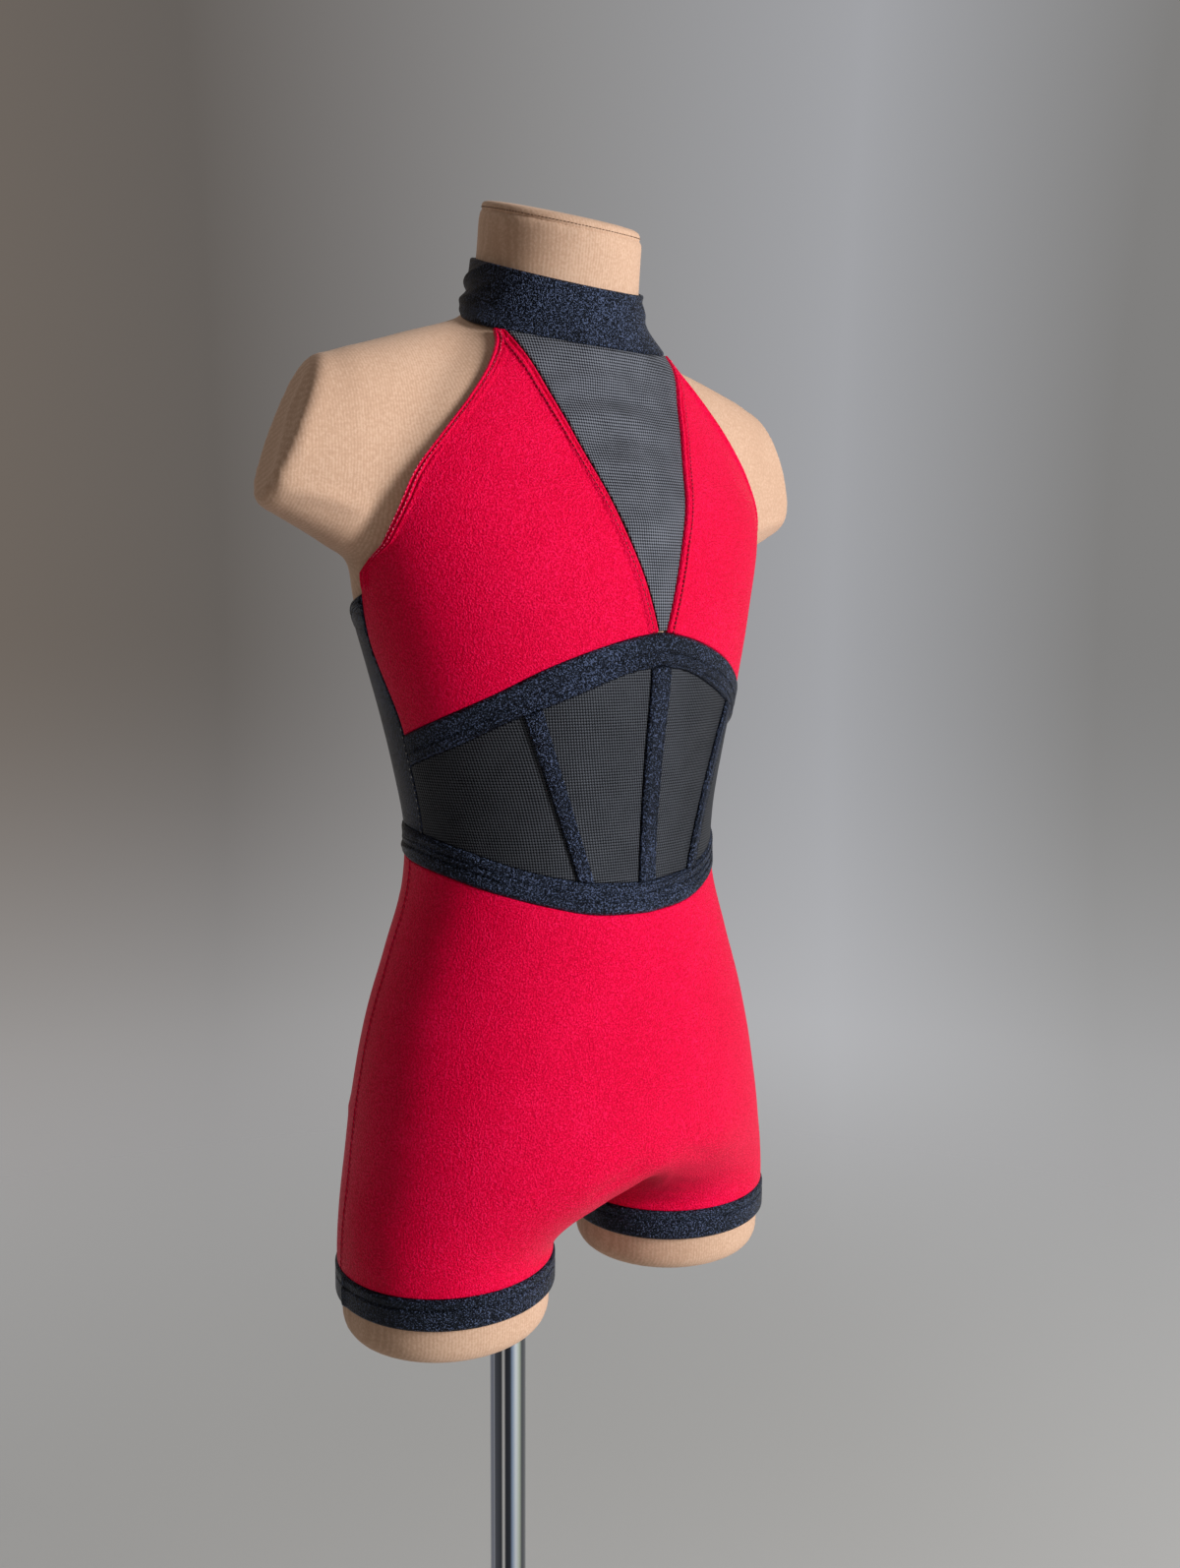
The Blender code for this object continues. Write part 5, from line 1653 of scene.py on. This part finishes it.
@dataclass
class Shorts:
    """The red shorts: a front and a back, joined at the sides and the crotch."""

    base: Unitard
    # Creases by the crotch and on the outer thighs
    folds: tuple[Crease, ...] = (
        Crease(((-0.0486, -0.1350, 0.6068), (-0.0427, -0.1379, 0.6116),
                (-0.0292, -0.1410, 0.6168), (-0.0135, -0.1437, 0.6230)), 0.0030, -0.0022),
        Crease(((0.0450, -0.1362, 0.6085), (0.0300, -0.1408, 0.6160),
                (0.0150, -0.1436, 0.6225)), 0.0030, -0.0012),
        Crease(((0.0216, -0.1287, 0.6011), (0.0558, -0.1212, 0.5885)), 0.0024, 0.0010),
        Crease(((0.0268, -0.1068, 0.5868), (0.0528, -0.1136, 0.5807)), 0.0022, 0.0009),
        Crease(((0.0312, -0.0824, 0.5684), (0.0400, -0.1016, 0.5760),
                (0.0630, -0.1119, 0.5718)), 0.0022, 0.0008),
        Crease(((-0.0240, -0.1280, 0.6000), (-0.0520, -0.1222, 0.5900)), 0.0026, 0.0007),
        Crease(((-0.1422, -0.0411, 0.5993), (-0.1420, -0.0552, 0.6073),
                (-0.1391, -0.0684, 0.6136)), 0.0028, 0.0007),
        Crease(((-0.1440, -0.0439, 0.5918), (-0.1428, -0.0603, 0.6015),
                (-0.1382, -0.0747, 0.6083)), 0.0026, 0.0009),
        Crease(((-0.1459, -0.0489, 0.5829), (-0.1438, -0.0656, 0.5926),
                (-0.1382, -0.0801, 0.5982)), 0.0028, 0.0007),
        Crease(((0.1422, -0.0450, 0.6010), (0.1418, -0.0570, 0.6085),
                (0.1391, -0.0684, 0.6136)), 0.0028, 0.0006),
        Crease(((0.1448, -0.0470, 0.5900), (0.1434, -0.0620, 0.5985)), 0.0028, 0.0008),
    )
    # Each slack fold of the hips: angle, height, half length in degrees, depth, slant
    hip_folds: tuple[tuple[float, float, float, float, float], ...] = (
        (118, 0.6420, 16, 0.0007, 0.0060), (-112, 0.6460, 14, 0.0006, 0.0050),
        (152, 0.6560, 15, 0.0005, 0.0070), (-158, 0.6500, 18, 0.0006, -0.0060),
        (96, 0.7560, 9, 0.0004, -0.0020), (-128, 0.7600, 12, 0.0004, 0.0020),
    )
    hollows: tuple[Bridge, ...] = (Bridge((0.0, -0.135, 0.612), 0.050),
                                   Bridge((0.0, 0.040, 0.612), 0.050))

    def grids(self, centre: float, edge: float, share_from: float,
              share_to: float) -> list[ClothGrid]:
        """Return the grids of the front or the back.

        Args:
            centre: the angle of its middle.
            edge: the angle of its side seam.
            share_from: the share of the crotch curve where it starts.
            share_to: the share where it ends.

        Returns:
            The hips, and the outer and inner stretch of each leg.
        """
        base, legs, hip = self.base, self.base.legs, self.base.torso.hip_height
        band_top = base.lines.hem_height + base.lines.hem_tall
        half = spaced(0.20, 0.0032, True, False)
        angles = edge + (centre - edge) * half
        other = 2 * centre - angles[::-1][1:]
        row = np.concatenate([angles, other])[None, :]
        up = spaced(0.15, 0.0032, False, True)[:, None]
        top = base.lines.height("waist_bottom", row)
        hips = base.torso.point(row, hip + up * (top - hip))
        made = [ClothGrid(hips, (Side.LEFT, Side.RIGHT, Side.TOP))]
        down = spaced(0.07, 0.0030, False, True)
        crotch = 1 - spaced(0.05, 0.0020, True, False)[::-1]
        outer_lines = [(Start.HIP_RING, float(a)) for a in angles]
        inner_lines = [(Start.CROTCH, float(share_from + (share_to - share_from) * s))
                       for s in crotch]
        for side in (-1, 1):
            made.append(ClothGrid(legs.grid(outer_lines, side, None, band_top, down),
                                  (Side.LEFT, Side.TOP)))
            made.append(ClothGrid(legs.grid(inner_lines, side, None, band_top, down),
                                  (Side.RIGHT, Side.TOP)))
        return made

    def make(self) -> None:
        """Build the front and the back and sew the sides."""
        base, legs = self.base, self.base.legs
        front_edge = legs.side_angle - base.seam_angle
        back_edge = legs.side_angle + base.seam_angle
        creases = [*self.folds, *(ring_crease(base.torso, row, 0.0036)
                                  for row in self.hip_folds)]
        for name, centre, edge, first, last in (
                ("shorts_front", 0.0, front_edge, 0.0, 0.5 - legs.crotch_seam_share),
                ("shorts_back", 180.0, back_edge, 1.0, 0.5 + legs.crotch_seam_share)):
            grids = self.grids(centre, edge, first, last)
            cloth = Cloth(name + "_cloth", name, "red_spandex", base.finishes.red, grids,
                          base.cloth_wall, lift=base.lift, creases=creases,
                          bridges=self.hollows)
            item = cloth.make()
            rows = [grids[0].line(Side.LEFT, 0.0011), grids[0].line(Side.RIGHT, 0.0011)]
            rows += [grids[1].line(Side.LEFT, 0.0011), grids[3].line(Side.LEFT, 0.0011)]
            stitches = Stitching(pitch=0.0036, length=0.0026, width=0.00036).make(
                name + "_side_stitches", rows, [item], base.finishes.red_thread,
                "red_spandex")
            cloth.declare()


@dataclass
class HemBands:
    """The black leg bands, doubled and topstitched."""

    base: Unitard
    row: float = 0.0060
    overlap_angle: float = 96.0     # where a band's ends are sewn together

    def make(self) -> None:
        """Build both bands and sew them."""
        base, legs = self.base, self.base.legs
        angles = np.linspace(0.0, 180.0, 110)
        shares = np.linspace(1.0, 0.0, 60)
        lines = [(Start.HIP_RING, float(a)) for a in angles]
        lines += [(Start.CROTCH, float(s)) for s in shares[1:]]
        low, high = base.lines.hem_height, base.lines.hem_height + base.lines.hem_tall
        down = spaced(base.lines.hem_tall, 0.0006, True, True)
        for side, name in ((-1, "hem_band_right"), (1, "hem_band_left")):
            points = legs.grid(lines, side, high, low, down)
            grid = ClothGrid(points, (Side.BOTTOM, Side.TOP),
                             hem_relief(Side.BOTTOM, 0.06, 0.0005, (self.row,)))
            seam = legs.grid([(Start.HIP_RING, self.overlap_angle)], side,
                             high + 0.008, low - 0.008, np.linspace(0.0, 1.0, 5))[:, 0]
            cloth = Cloth(name + "_cloth", name, "black_spandex", base.finishes.black, [grid],
                          base.band_wall, centre_x=side * legs.x,
                          creases=[Crease(seam, 0.0018, 0.0012)])
            item = cloth.make()
            stitches = Stitching(pitch=0.0030, length=0.0022, width=0.00042).make(
                name + "_stitches", [grid.line(Side.BOTTOM, self.row)], [item],
                base.finishes.black_thread, "black_spandex")
            cloth.declare()


# The form and its stand


@dataclass
class DressForm:
    """The covered form: torso, neck stump, shoulder stumps and thigh stumps."""

    torso: Torso
    legs: Legs
    finishes: Finishes
    voxel: float = 0.0030
    columns: tuple[str, ...] = ("x", "middle_y", "height", "half_depth", "half_height",
                                "tilt", "turn")
    shoulder_rows: tuple[tuple[float, ...], ...] = (
        (0.045, 0.016, 1.0180, 0.036, 0.0680, 0.0, 0.0),
        (0.070, 0.013, 1.0120, 0.038, 0.0660, 0.0, 0.0),
        (0.095, 0.009, 1.0080, 0.038, 0.0630, 2.0, 2.0),
        (0.120, 0.005, 1.0060, 0.035, 0.0590, 8.0, 4.0),
        (0.145, 0.003, 1.0095, 0.030, 0.0500, 15.0, 6.0),
        (0.162, 0.003, 1.0110, 0.026, 0.0435, 20.0, 8.0),
        (0.169, 0.003, 1.0120, 0.024, 0.0410, 22.0, 8.0),
        (0.172, 0.003, 1.0125, 0.021, 0.0375, 23.0, 8.0),
    )
    shoulder_power: float = 2.3
    rim_round: float = 0.0050       # the neck's rim is soft
    # Edges of the right shoulder stump's end plate and underside, the same at the left
    ridges: tuple[Crease, ...] = (
        Crease(((-0.1600, -0.0500, 1.0440), (-0.1650, -0.0480, 1.0310),
                (-0.1684, -0.0458, 1.0222), (-0.1783, -0.0532, 1.0013),
                (-0.1841, -0.0572, 0.9841)), 0.0040, 0.0014),
        Crease(((-0.1845, -0.0560, 0.9832), (-0.1610, -0.0649, 0.9784),
                (-0.1380, -0.0687, 0.9717)), 0.0045, 0.0014),
    )
    seam_gap: float = 0.0003

    def add_rings(self, mesh: bmesh.types.BMesh, rings: Array,
                  closed: bool) -> list[list[bmesh.types.BMVert]]:
        """Join rings of points with quads.

        Args:
            mesh: the mesh that they go into.
            rings: the points, ring by ring.
            closed: True if a ring's last point joins its first.

        Returns:
            The vertices, ring by ring.
        """
        verts = [[mesh.verts.new(p) for p in ring] for ring in rings]
        count = len(verts[0])
        for low, high in zip(verts[:-1], verts[1:]):
            for i in range(count if closed else count - 1):
                k = (i + 1) % count
                mesh.faces.new((low[i], low[k], high[k], high[i]))
        return verts

    def body(self) -> bpy.types.Mesh:
        """Return the closed torso, neck and thighs."""
        torso, legs = self.torso, self.legs
        half = np.linspace(0.0, 180.0, 73)
        angles = np.concatenate([half, 360 - half[1:-1][::-1]])
        heights = np.linspace(torso.hip_height, torso.neck_straight, 150)
        rings = list(torso.point(angles[None, :], heights[:, None]))
        rim = torso.neck_ring(angles)
        middle = rim.mean(axis=0)
        for share in np.linspace(0.0, 1.0, 9)[1:-1]:
            level = torso.neck_straight + share * (rim[:, 2] - self.rim_round
                                                   - torso.neck_straight)
            rings.append(torso.point(angles, level))
        for turn in np.linspace(0.0, math.pi / 2, 7):
            ring = rim + (middle - rim) * (1 - math.cos(turn)) * self.rim_round / 0.046
            ring[:, 2] = rim[:, 2] - self.rim_round * (1 - math.sin(turn))
            rings.append(ring)
        mesh = bmesh.new()
        verts = self.add_rings(mesh, np.array(rings), True)
        mesh.faces.new(verts[-1])
        ring_lines = [(Start.HIP_RING, float(a)) for a in half]
        crotch_lines = [(Start.CROTCH, float(s)) for s in np.linspace(1.0, 0.0, 49)]
        for side in (-1, 1):
            middle = np.array((side * legs.x, FIGURE_Y + legs.y, 0.0))
            ends = []
            for lines in (ring_lines, crotch_lines):
                upper = legs.grid(lines, side, None, legs.end_height, np.linspace(0, 1, 40))
                rounded = []
                for drop, shrink in legs.rounding[1:]:
                    ring = middle + (upper[-1] - middle) * (1 - shrink)
                    ring[:, 2] = legs.end_height - drop
                    rounded.append(ring)
                grid = np.concatenate([upper, np.array(rounded)])
                ends.append(self.add_rings(mesh, grid, False)[-1])
            mesh.faces.new(ends[0] + ends[1][1:-1])
        bmesh.ops.remove_doubles(mesh, verts=mesh.verts, dist=0.00005)
        bmesh.ops.recalc_face_normals(mesh, faces=mesh.faces)
        data = bpy.data.meshes.new("body")
        mesh.to_mesh(data)
        mesh.free()
        return data

    def shoulder_ring(self, values: Array, side: int) -> Array:
        """Return one section of a shoulder stump."""
        row = dict(zip(self.columns, values))
        tilt, turn = math.radians(row["tilt"]), math.radians(row["turn"])
        up = np.array((-math.sin(tilt), 0.0, math.cos(tilt)))
        across = np.array((-math.sin(turn), math.cos(turn), 0.0))
        angle = np.linspace(0.0, 2 * math.pi, 72, endpoint=False)[:, None]
        c, s = np.cos(angle), np.sin(angle)
        power = 2 / self.shoulder_power
        middle = np.array((row["x"], FIGURE_Y + row["middle_y"], row["height"]))
        ring = (middle + across * row["half_depth"] * np.sign(c) * np.abs(c) ** power
                + up * row["half_height"] * np.sign(s) * np.abs(s) ** power)
        return ring * np.array((side, 1, 1))

    def shoulders(self) -> bpy.types.Mesh:
        """Return the closed bar through both shoulder stumps."""
        table = SmoothTable(self.shoulder_rows)
        xs = np.concatenate([np.linspace(0.045, 0.162, 30), np.linspace(0.1635, 0.172, 8)])
        sections = [np.concatenate([[x], table(x)]) for x in xs]
        rings = [self.shoulder_ring(row, -1) for row in reversed(sections)]
        rings += [self.shoulder_ring(row, 1) for row in sections]
        mesh = bmesh.new()
        verts = self.add_rings(mesh, np.array(rings), True)
        mesh.faces.new(verts[0])
        mesh.faces.new(verts[-1])
        bmesh.ops.recalc_face_normals(mesh, faces=mesh.faces)
        data = bpy.data.meshes.new("bar")
        mesh.to_mesh(data)
        mesh.free()
        return data

    def soften(self, data: bpy.types.Mesh) -> None:
        """Round the joins of the stumps, where the cover is stretched over them."""
        points = read(data.vertices, "co", 3)
        edges = read(data.edges, "vertices", 2, int)
        out, up = np.abs(points[:, 0]), points[:, 2]
        joins = (smooth_step(0.040, 0.080, out) * (1 - smooth_step(0.125, 0.145, out))
                 * smooth_step(0.915, 0.955, up) * (1 - smooth_step(1.085, 1.100, up)))
        points = evened(points, edges, np.full(len(points), 0.4), 2)
        points = evened(points, edges, 0.6 * joins, 22)
        data.vertices.foreach_set("co", points.reshape(-1))
        data.update()
        normals = read(data.vertex_normals, "vector", 3)
        for ridge in self.ridges:
            for side in (-1.0, 1.0):
                mirror = (-side, 1.0, 1.0)
                rise = ridge.heights(points * mirror, normals * mirror)
                points = points + normals * rise[:, None]
        data.vertices.foreach_set("co", points.reshape(-1))
        data.update()

    def make(self) -> bpy.types.Object:
        """Build the covered form."""
        mesh = bmesh.new()
        for part in (self.body(), self.shoulders()):
            mesh.from_mesh(part)
        joined = bpy.data.meshes.new("form_joined")
        mesh.to_mesh(joined)
        mesh.free()
        source = bpy.data.objects.new("form_joined", joined)
        bpy.context.scene.collection.objects.link(source)
        skin = source.modifiers.new("skin", "REMESH")
        skin.mode = "VOXEL"
        skin.voxel_size = self.voxel
        skin.adaptivity = 0.0
        ready = source.evaluated_get(bpy.context.evaluated_depsgraph_get())
        data = bpy.data.meshes.new_from_object(ready)
        source.modifiers.clear()
        bpy.data.objects.remove(source)
        self.soften(data)
        data.name = "form"
        return finish_piece("form", data, self.finishes.jersey, ["form_body"])

    def make_cap(self) -> bpy.types.Object:
        """Build the cap on the neck, sewn on around its rim."""
        angles = np.linspace(0.0, 360.0, 144, endpoint=False)
        rim = self.torso.neck_ring(angles)
        middle = rim.mean(axis=0)
        # Each row of the cap's profile: share of the radius, height
        profile = ((0.840, -0.0050), (0.930, -0.0045), (0.962, -0.0032), (0.972, -0.0016),
                   (0.972, -0.0002), (0.962, 0.0010), (0.942, 0.0019), (0.900, 0.0026),
                   (0.800, 0.0031), (0.600, 0.0034), (0.300, 0.0035), (0.050, 0.0035))
        rings = [middle + (rim - middle) * share + np.array((0, 0, self.seam_gap + lift))
                 for share, lift in profile]
        mesh = bmesh.new()
        verts = self.add_rings(mesh, np.array(rings), True)
        mesh.faces.new(verts[0])
        mesh.faces.new(verts[-1])
        bmesh.ops.recalc_face_normals(mesh, faces=mesh.faces)
        data = bpy.data.meshes.new("neck_cover")
        mesh.to_mesh(data)
        mesh.free()
        item = finish_piece("neck_cover", data, self.finishes.jersey,
                            ["neck_cap"])
        ring = middle + (rim - middle) * 0.978 - np.array((0, 0, 0.0010))
        row = np.vstack([ring, ring[:1]])
        Stitching(pitch=0.0020, length=0.0019, width=0.00055).make(
            "neck_cover_stitches", [row], [item], self.finishes.beige_thread, "form_jersey")
        return item


@dataclass
class Stand:
    """The chrome pole with its sleeve, and the round steel base."""

    finishes: Finishes
    pole_radius: float = 0.0115
    pole_top: float = 0.6003
    sleeve_radius: float = 0.0155
    sleeve_top: float = 0.560
    sleeve_length: float = 0.030
    base_radius: float = 0.170
    base_height: float = 0.008
    hub_radius: float = 0.021
    hub_height: float = 0.022
    gap: float = 0.0003

    def turned(self, name: str, profile: Sequence[tuple[float, float]],
               material: bpy.types.Material, node: str) -> bpy.types.Object:
        """Make a turned piece on the pole's axis.

        Args:
            name: the piece's name.
            profile: the radius and height of each point, from the axis round to it.
            material: its finish.
            node: the CAD node that it replaces.

        Returns:
            The piece.
        """
        data = bpy.data.meshes.new(name + "_profile")
        data.from_pydata([(r, 0.0, z) for r, z in profile],
                         [(i, i + 1) for i in range(len(profile) - 1)], [])
        source = bpy.data.objects.new(name + "_profile", data)
        bpy.context.scene.collection.objects.link(source)
        screw = source.modifiers.new("turn", "SCREW")
        screw.steps = screw.render_steps = 96
        screw.use_merge_vertices = True
        screw.merge_threshold = 0.00001
        ready = source.evaluated_get(bpy.context.evaluated_depsgraph_get())
        made = bpy.data.meshes.new_from_object(ready)
        source.modifiers.clear()
        bpy.data.objects.remove(source)
        mesh = bmesh.new()
        mesh.from_mesh(made)
        bmesh.ops.remove_doubles(mesh, verts=mesh.verts, dist=0.00001)
        bmesh.ops.recalc_face_normals(mesh, faces=mesh.faces)
        mesh.to_mesh(made)
        mesh.free()
        made.name = name
        item = finish_piece(name, made, material, [node])
        made.set_sharp_from_angle(angle=math.radians(35))
        return item

    def make(self) -> None:
        """Build the base, the pole and the sleeve."""
        chrome, steel = self.finishes.chrome, self.finishes.steel
        top, out = self.base_height, self.base_radius
        self.turned("round_base", [(0, top), (0.5 * out, top), (out - 0.0040, top - 0.0002),
                                   (out - 0.0018, top - 0.0008), (out - 0.0005, top - 0.0021),
                                   (out, top - 0.0040), (out, 0.0008), (out - 0.0008, 0), (0, 0)],
                    steel, "base")
        foot = self.base_height + self.gap
        hub = foot + self.hub_height
        self.turned("chrome_pole", [(0, self.pole_top), (self.pole_radius - 0.001, self.pole_top),
                                    (self.pole_radius, self.pole_top - 0.001),
                                    (self.pole_radius, hub + 0.002),
                                    (self.pole_radius + 0.001, hub + 0.0006),
                                    (self.hub_radius - 0.003, hub),
                                    (self.hub_radius - 0.001, hub - 0.0008),
                                    (self.hub_radius, hub - 0.003), (self.hub_radius, foot),
                                    (0, foot)],
                    chrome, "pole")
        inner = self.pole_radius + self.gap
        high, low = self.sleeve_top, self.sleeve_top - self.sleeve_length
        edge = self.sleeve_radius
        self.turned("chrome_sleeve", [(inner, high), (edge - 0.002, high),
                                      (edge - 0.0006, high - 0.0006), (edge, high - 0.002),
                                      (edge, low + 0.002), (edge - 0.0006, low + 0.0006),
                                      (edge - 0.002, low), (inner, low), (inner, high)],
                    chrome, "pole_sleeve")


# Camera, light and floor


@dataclass
class Studio:
    """A plain pale floor, soft light and the camera at the photograph's angle."""

    azimuth: float = 39.2
    distance: float = 0.833
    camera_height: float = 0.924
    tilt: float = 7.03
    yaw: float = 1.485
    roll: float = 0.33
    focal: float = 1446 / 1594      # focal length as a share of the picture's long side
    floor_size: float = 2.4

    def camera(self) -> None:
        """Make the camera."""
        az, yaw = math.radians(self.azimuth), math.radians(self.yaw)
        tilt, roll = math.radians(self.tilt), math.radians(self.roll)
        place = Vector((-math.sin(az) * self.distance,
                        -math.cos(az) * self.distance + FIGURE_Y, self.camera_height))
        ahead = Vector((math.sin(az + yaw), math.cos(az + yaw), 0.0))
        aside = Vector((ahead.y, -ahead.x, 0.0))
        forward = ahead * math.cos(tilt) + Vector((0, 0, -math.sin(tilt)))
        up = ahead * math.sin(tilt) + Vector((0, 0, math.cos(tilt)))
        right = aside * math.cos(roll) + up * math.sin(roll)
        top = up * math.cos(roll) - aside * math.sin(roll)
        data = bpy.data.cameras.new("camera")
        data.sensor_width = 36.0
        data.lens = 36.0 * self.focal
        data.clip_start, data.clip_end = 0.01, 50.0
        item = bpy.data.objects.new("camera", data)
        item.matrix_world = Matrix(((right.x, top.x, -forward.x, place.x),
                                    (right.y, top.y, -forward.y, place.y),
                                    (right.z, top.z, -forward.z, place.z), (0, 0, 0, 1)))
        bpy.context.scene.collection.objects.link(item)
        bpy.context.scene.camera = item

    def lamp(self, name: str, place: tuple[float, float, float], size: float, tall: float,
             power: float, colour: str) -> bpy.types.Object:
        """Make one soft lamp that faces the form.

        Args:
            name: the lamp's name.
            place: where it hangs.
            size: its width.
            tall: its height.
            power: its power in watts.
            colour: its colour as an sRGB hex code.

        Returns:
            The lamp.
        """
        data = bpy.data.lights.new(name, "AREA")
        data.shape, data.size, data.size_y = "RECTANGLE", size, tall
        data.energy, data.color = power, srgb(colour)[:3]
        item = bpy.data.objects.new(name, data)
        item.location = place
        aim = Vector((0.0, FIGURE_Y, 0.85)) - Vector(place)
        item.rotation_euler = aim.to_track_quat("-Z", "Y").to_euler()
        bpy.context.scene.collection.objects.link(item)
        return item

    def world(self) -> None:
        """Make the plain background, a little warmer and darker at one side."""
        world = bpy.data.worlds.new("studio")
        world.use_nodes = True
        tree = world.node_tree
        tree.nodes.clear()
        place = add_node(tree, "ShaderNodeTexCoord")
        dots = [add_node(tree, "ShaderNodeVectorMath", {
            0: place.outputs["Generated"], 1: way}, operation="DOT_PRODUCT")
            for way in ((0.775, -0.632, 0.0), (0.632, 0.775, 0.0))]
        spread = [add_node(tree, "ShaderNodeMapRange", {
            "Value": dots[0].outputs["Value"], "From Min": low, "From Max": high})
            for low, high in ((-0.40, 0.40), (-1.0, 1.0))]
        wall = ramp_stops(add_node(tree, "ShaderNodeValToRGB", {"Fac": spread[0].outputs[0]}),
                          ((0.0, "#70675F"), (0.22, "#645F5B"), (0.50, "#8C8B8B"),
                           (0.74, "#A2A3A7"), (0.95, "#807F7E")))
        room = ramp_stops(add_node(tree, "ShaderNodeValToRGB", {"Fac": spread[1].outputs[0]}),
                          ((0.0, "#3C3A38"), (0.5, "#3E3F41"), (1.0, "#606266")))
        front = add_node(tree, "ShaderNodeMapRange", {
            "Value": dots[1].outputs["Value"], "From Min": -0.25, "From Max": 0.25},
            interpolation_type="SMOOTHSTEP")
        colour = add_node(tree, "ShaderNodeMix", {
            0: front.outputs["Result"], 6: room.outputs["Color"], 7: wall.outputs["Color"]},
            data_type="RGBA")
        axes = add_node(tree, "ShaderNodeSeparateXYZ", {"Vector": place.outputs["Generated"]})
        low = add_node(tree, "ShaderNodeMapRange", {
            "Value": axes.outputs["Z"], "From Min": 0.0, "From Max": -0.65, "To Max": 0.9},
            interpolation_type="SMOOTHSTEP")
        paler = add_node(tree, "ShaderNodeMath", {0: low.outputs[0], 1: front.outputs[0]},
                         operation="MULTIPLY")
        graded = add_node(tree, "ShaderNodeMix", {
            0: paler.outputs[0], 6: colour.outputs[2], 7: srgb("#CDCDCF")}, data_type="RGBA")
        light = add_node(tree, "ShaderNodeBackground", {"Color": graded.outputs[2]})
        add_node(tree, "ShaderNodeOutputWorld", {"Surface": light.outputs["Background"]})
        bpy.context.scene.world = world

    def floor(self) -> None:
        """Make the pale floor, which fades into the background."""
        mesh = bmesh.new()
        bmesh.ops.create_circle(mesh, cap_ends=True, segments=96, radius=self.floor_size)
        data = bpy.data.meshes.new("floor")
        mesh.to_mesh(data)
        mesh.free()
        material, tree, shader = new_material("pale_painted_floor")
        place = add_node(tree, "ShaderNodeTexCoord")
        away = add_node(tree, "ShaderNodeVectorMath", {0: place.outputs["Object"]},
                        operation="LENGTH")
        fade = add_node(tree, "ShaderNodeMapRange", {
            "Value": away.outputs["Value"], "From Min": 0.5, "From Max": self.floor_size,
            "To Min": 1.0, "To Max": 0.0}, interpolation_type="SMOOTHSTEP")
        tree.links.new(fade.outputs["Result"], shader.inputs["Alpha"])
        shader.inputs["Base Color"].default_value = srgb("#C4C4C2")
        shader.inputs["Roughness"].default_value = 0.7
        data.materials.append(material)
        item = bpy.data.objects.new("floor", data)
        item.location = (0.0, 0.0, -0.0005)
        bpy.context.scene.collection.objects.link(item)

    def make(self) -> None:
        """Set up the whole studio."""
        self.camera()
        self.world()
        self.floor()
        self.lamp("window", (1.14, -2.66, 1.50), 0.68, 1.50, 112.0, "#FFFFFF")
        fill = self.lamp("fill", (-1.5, -1.7, 1.2), 2.2, 2.0, 7.0, "#FFF4EA")
        back = self.lamp("back", (-0.3, 1.9, 2.2), 2.0, 2.0, 12.0, "#FFFFFF")
        fill.visible_glossy = back.visible_glossy = False
        bpy.context.scene.view_settings.view_transform = "Standard"


def main() -> None:
    """Build the form, the stand, the unitard and the studio."""
    logging.basicConfig(level=logging.INFO, format="%(name)s %(message)s")
    Studio().make()
    finishes = Finishes()
    torso = Torso()
    lines, legs = SeamLines(torso), Legs(torso)
    form = DressForm(torso, legs, finishes)
    form.make()
    form.make_cap()
    Stand(finishes).make()
    base = Unitard(torso, lines, legs, finishes)
    Collar(base).make()
    Yoke(base).make()
    BustPanels(base).make()
    Bands(base).make()
    Bodice(base).make()
    BackPanel(base).make()
    Shorts(base).make()
    HemBands(base).make()


if __name__ == "__main__":
    main()
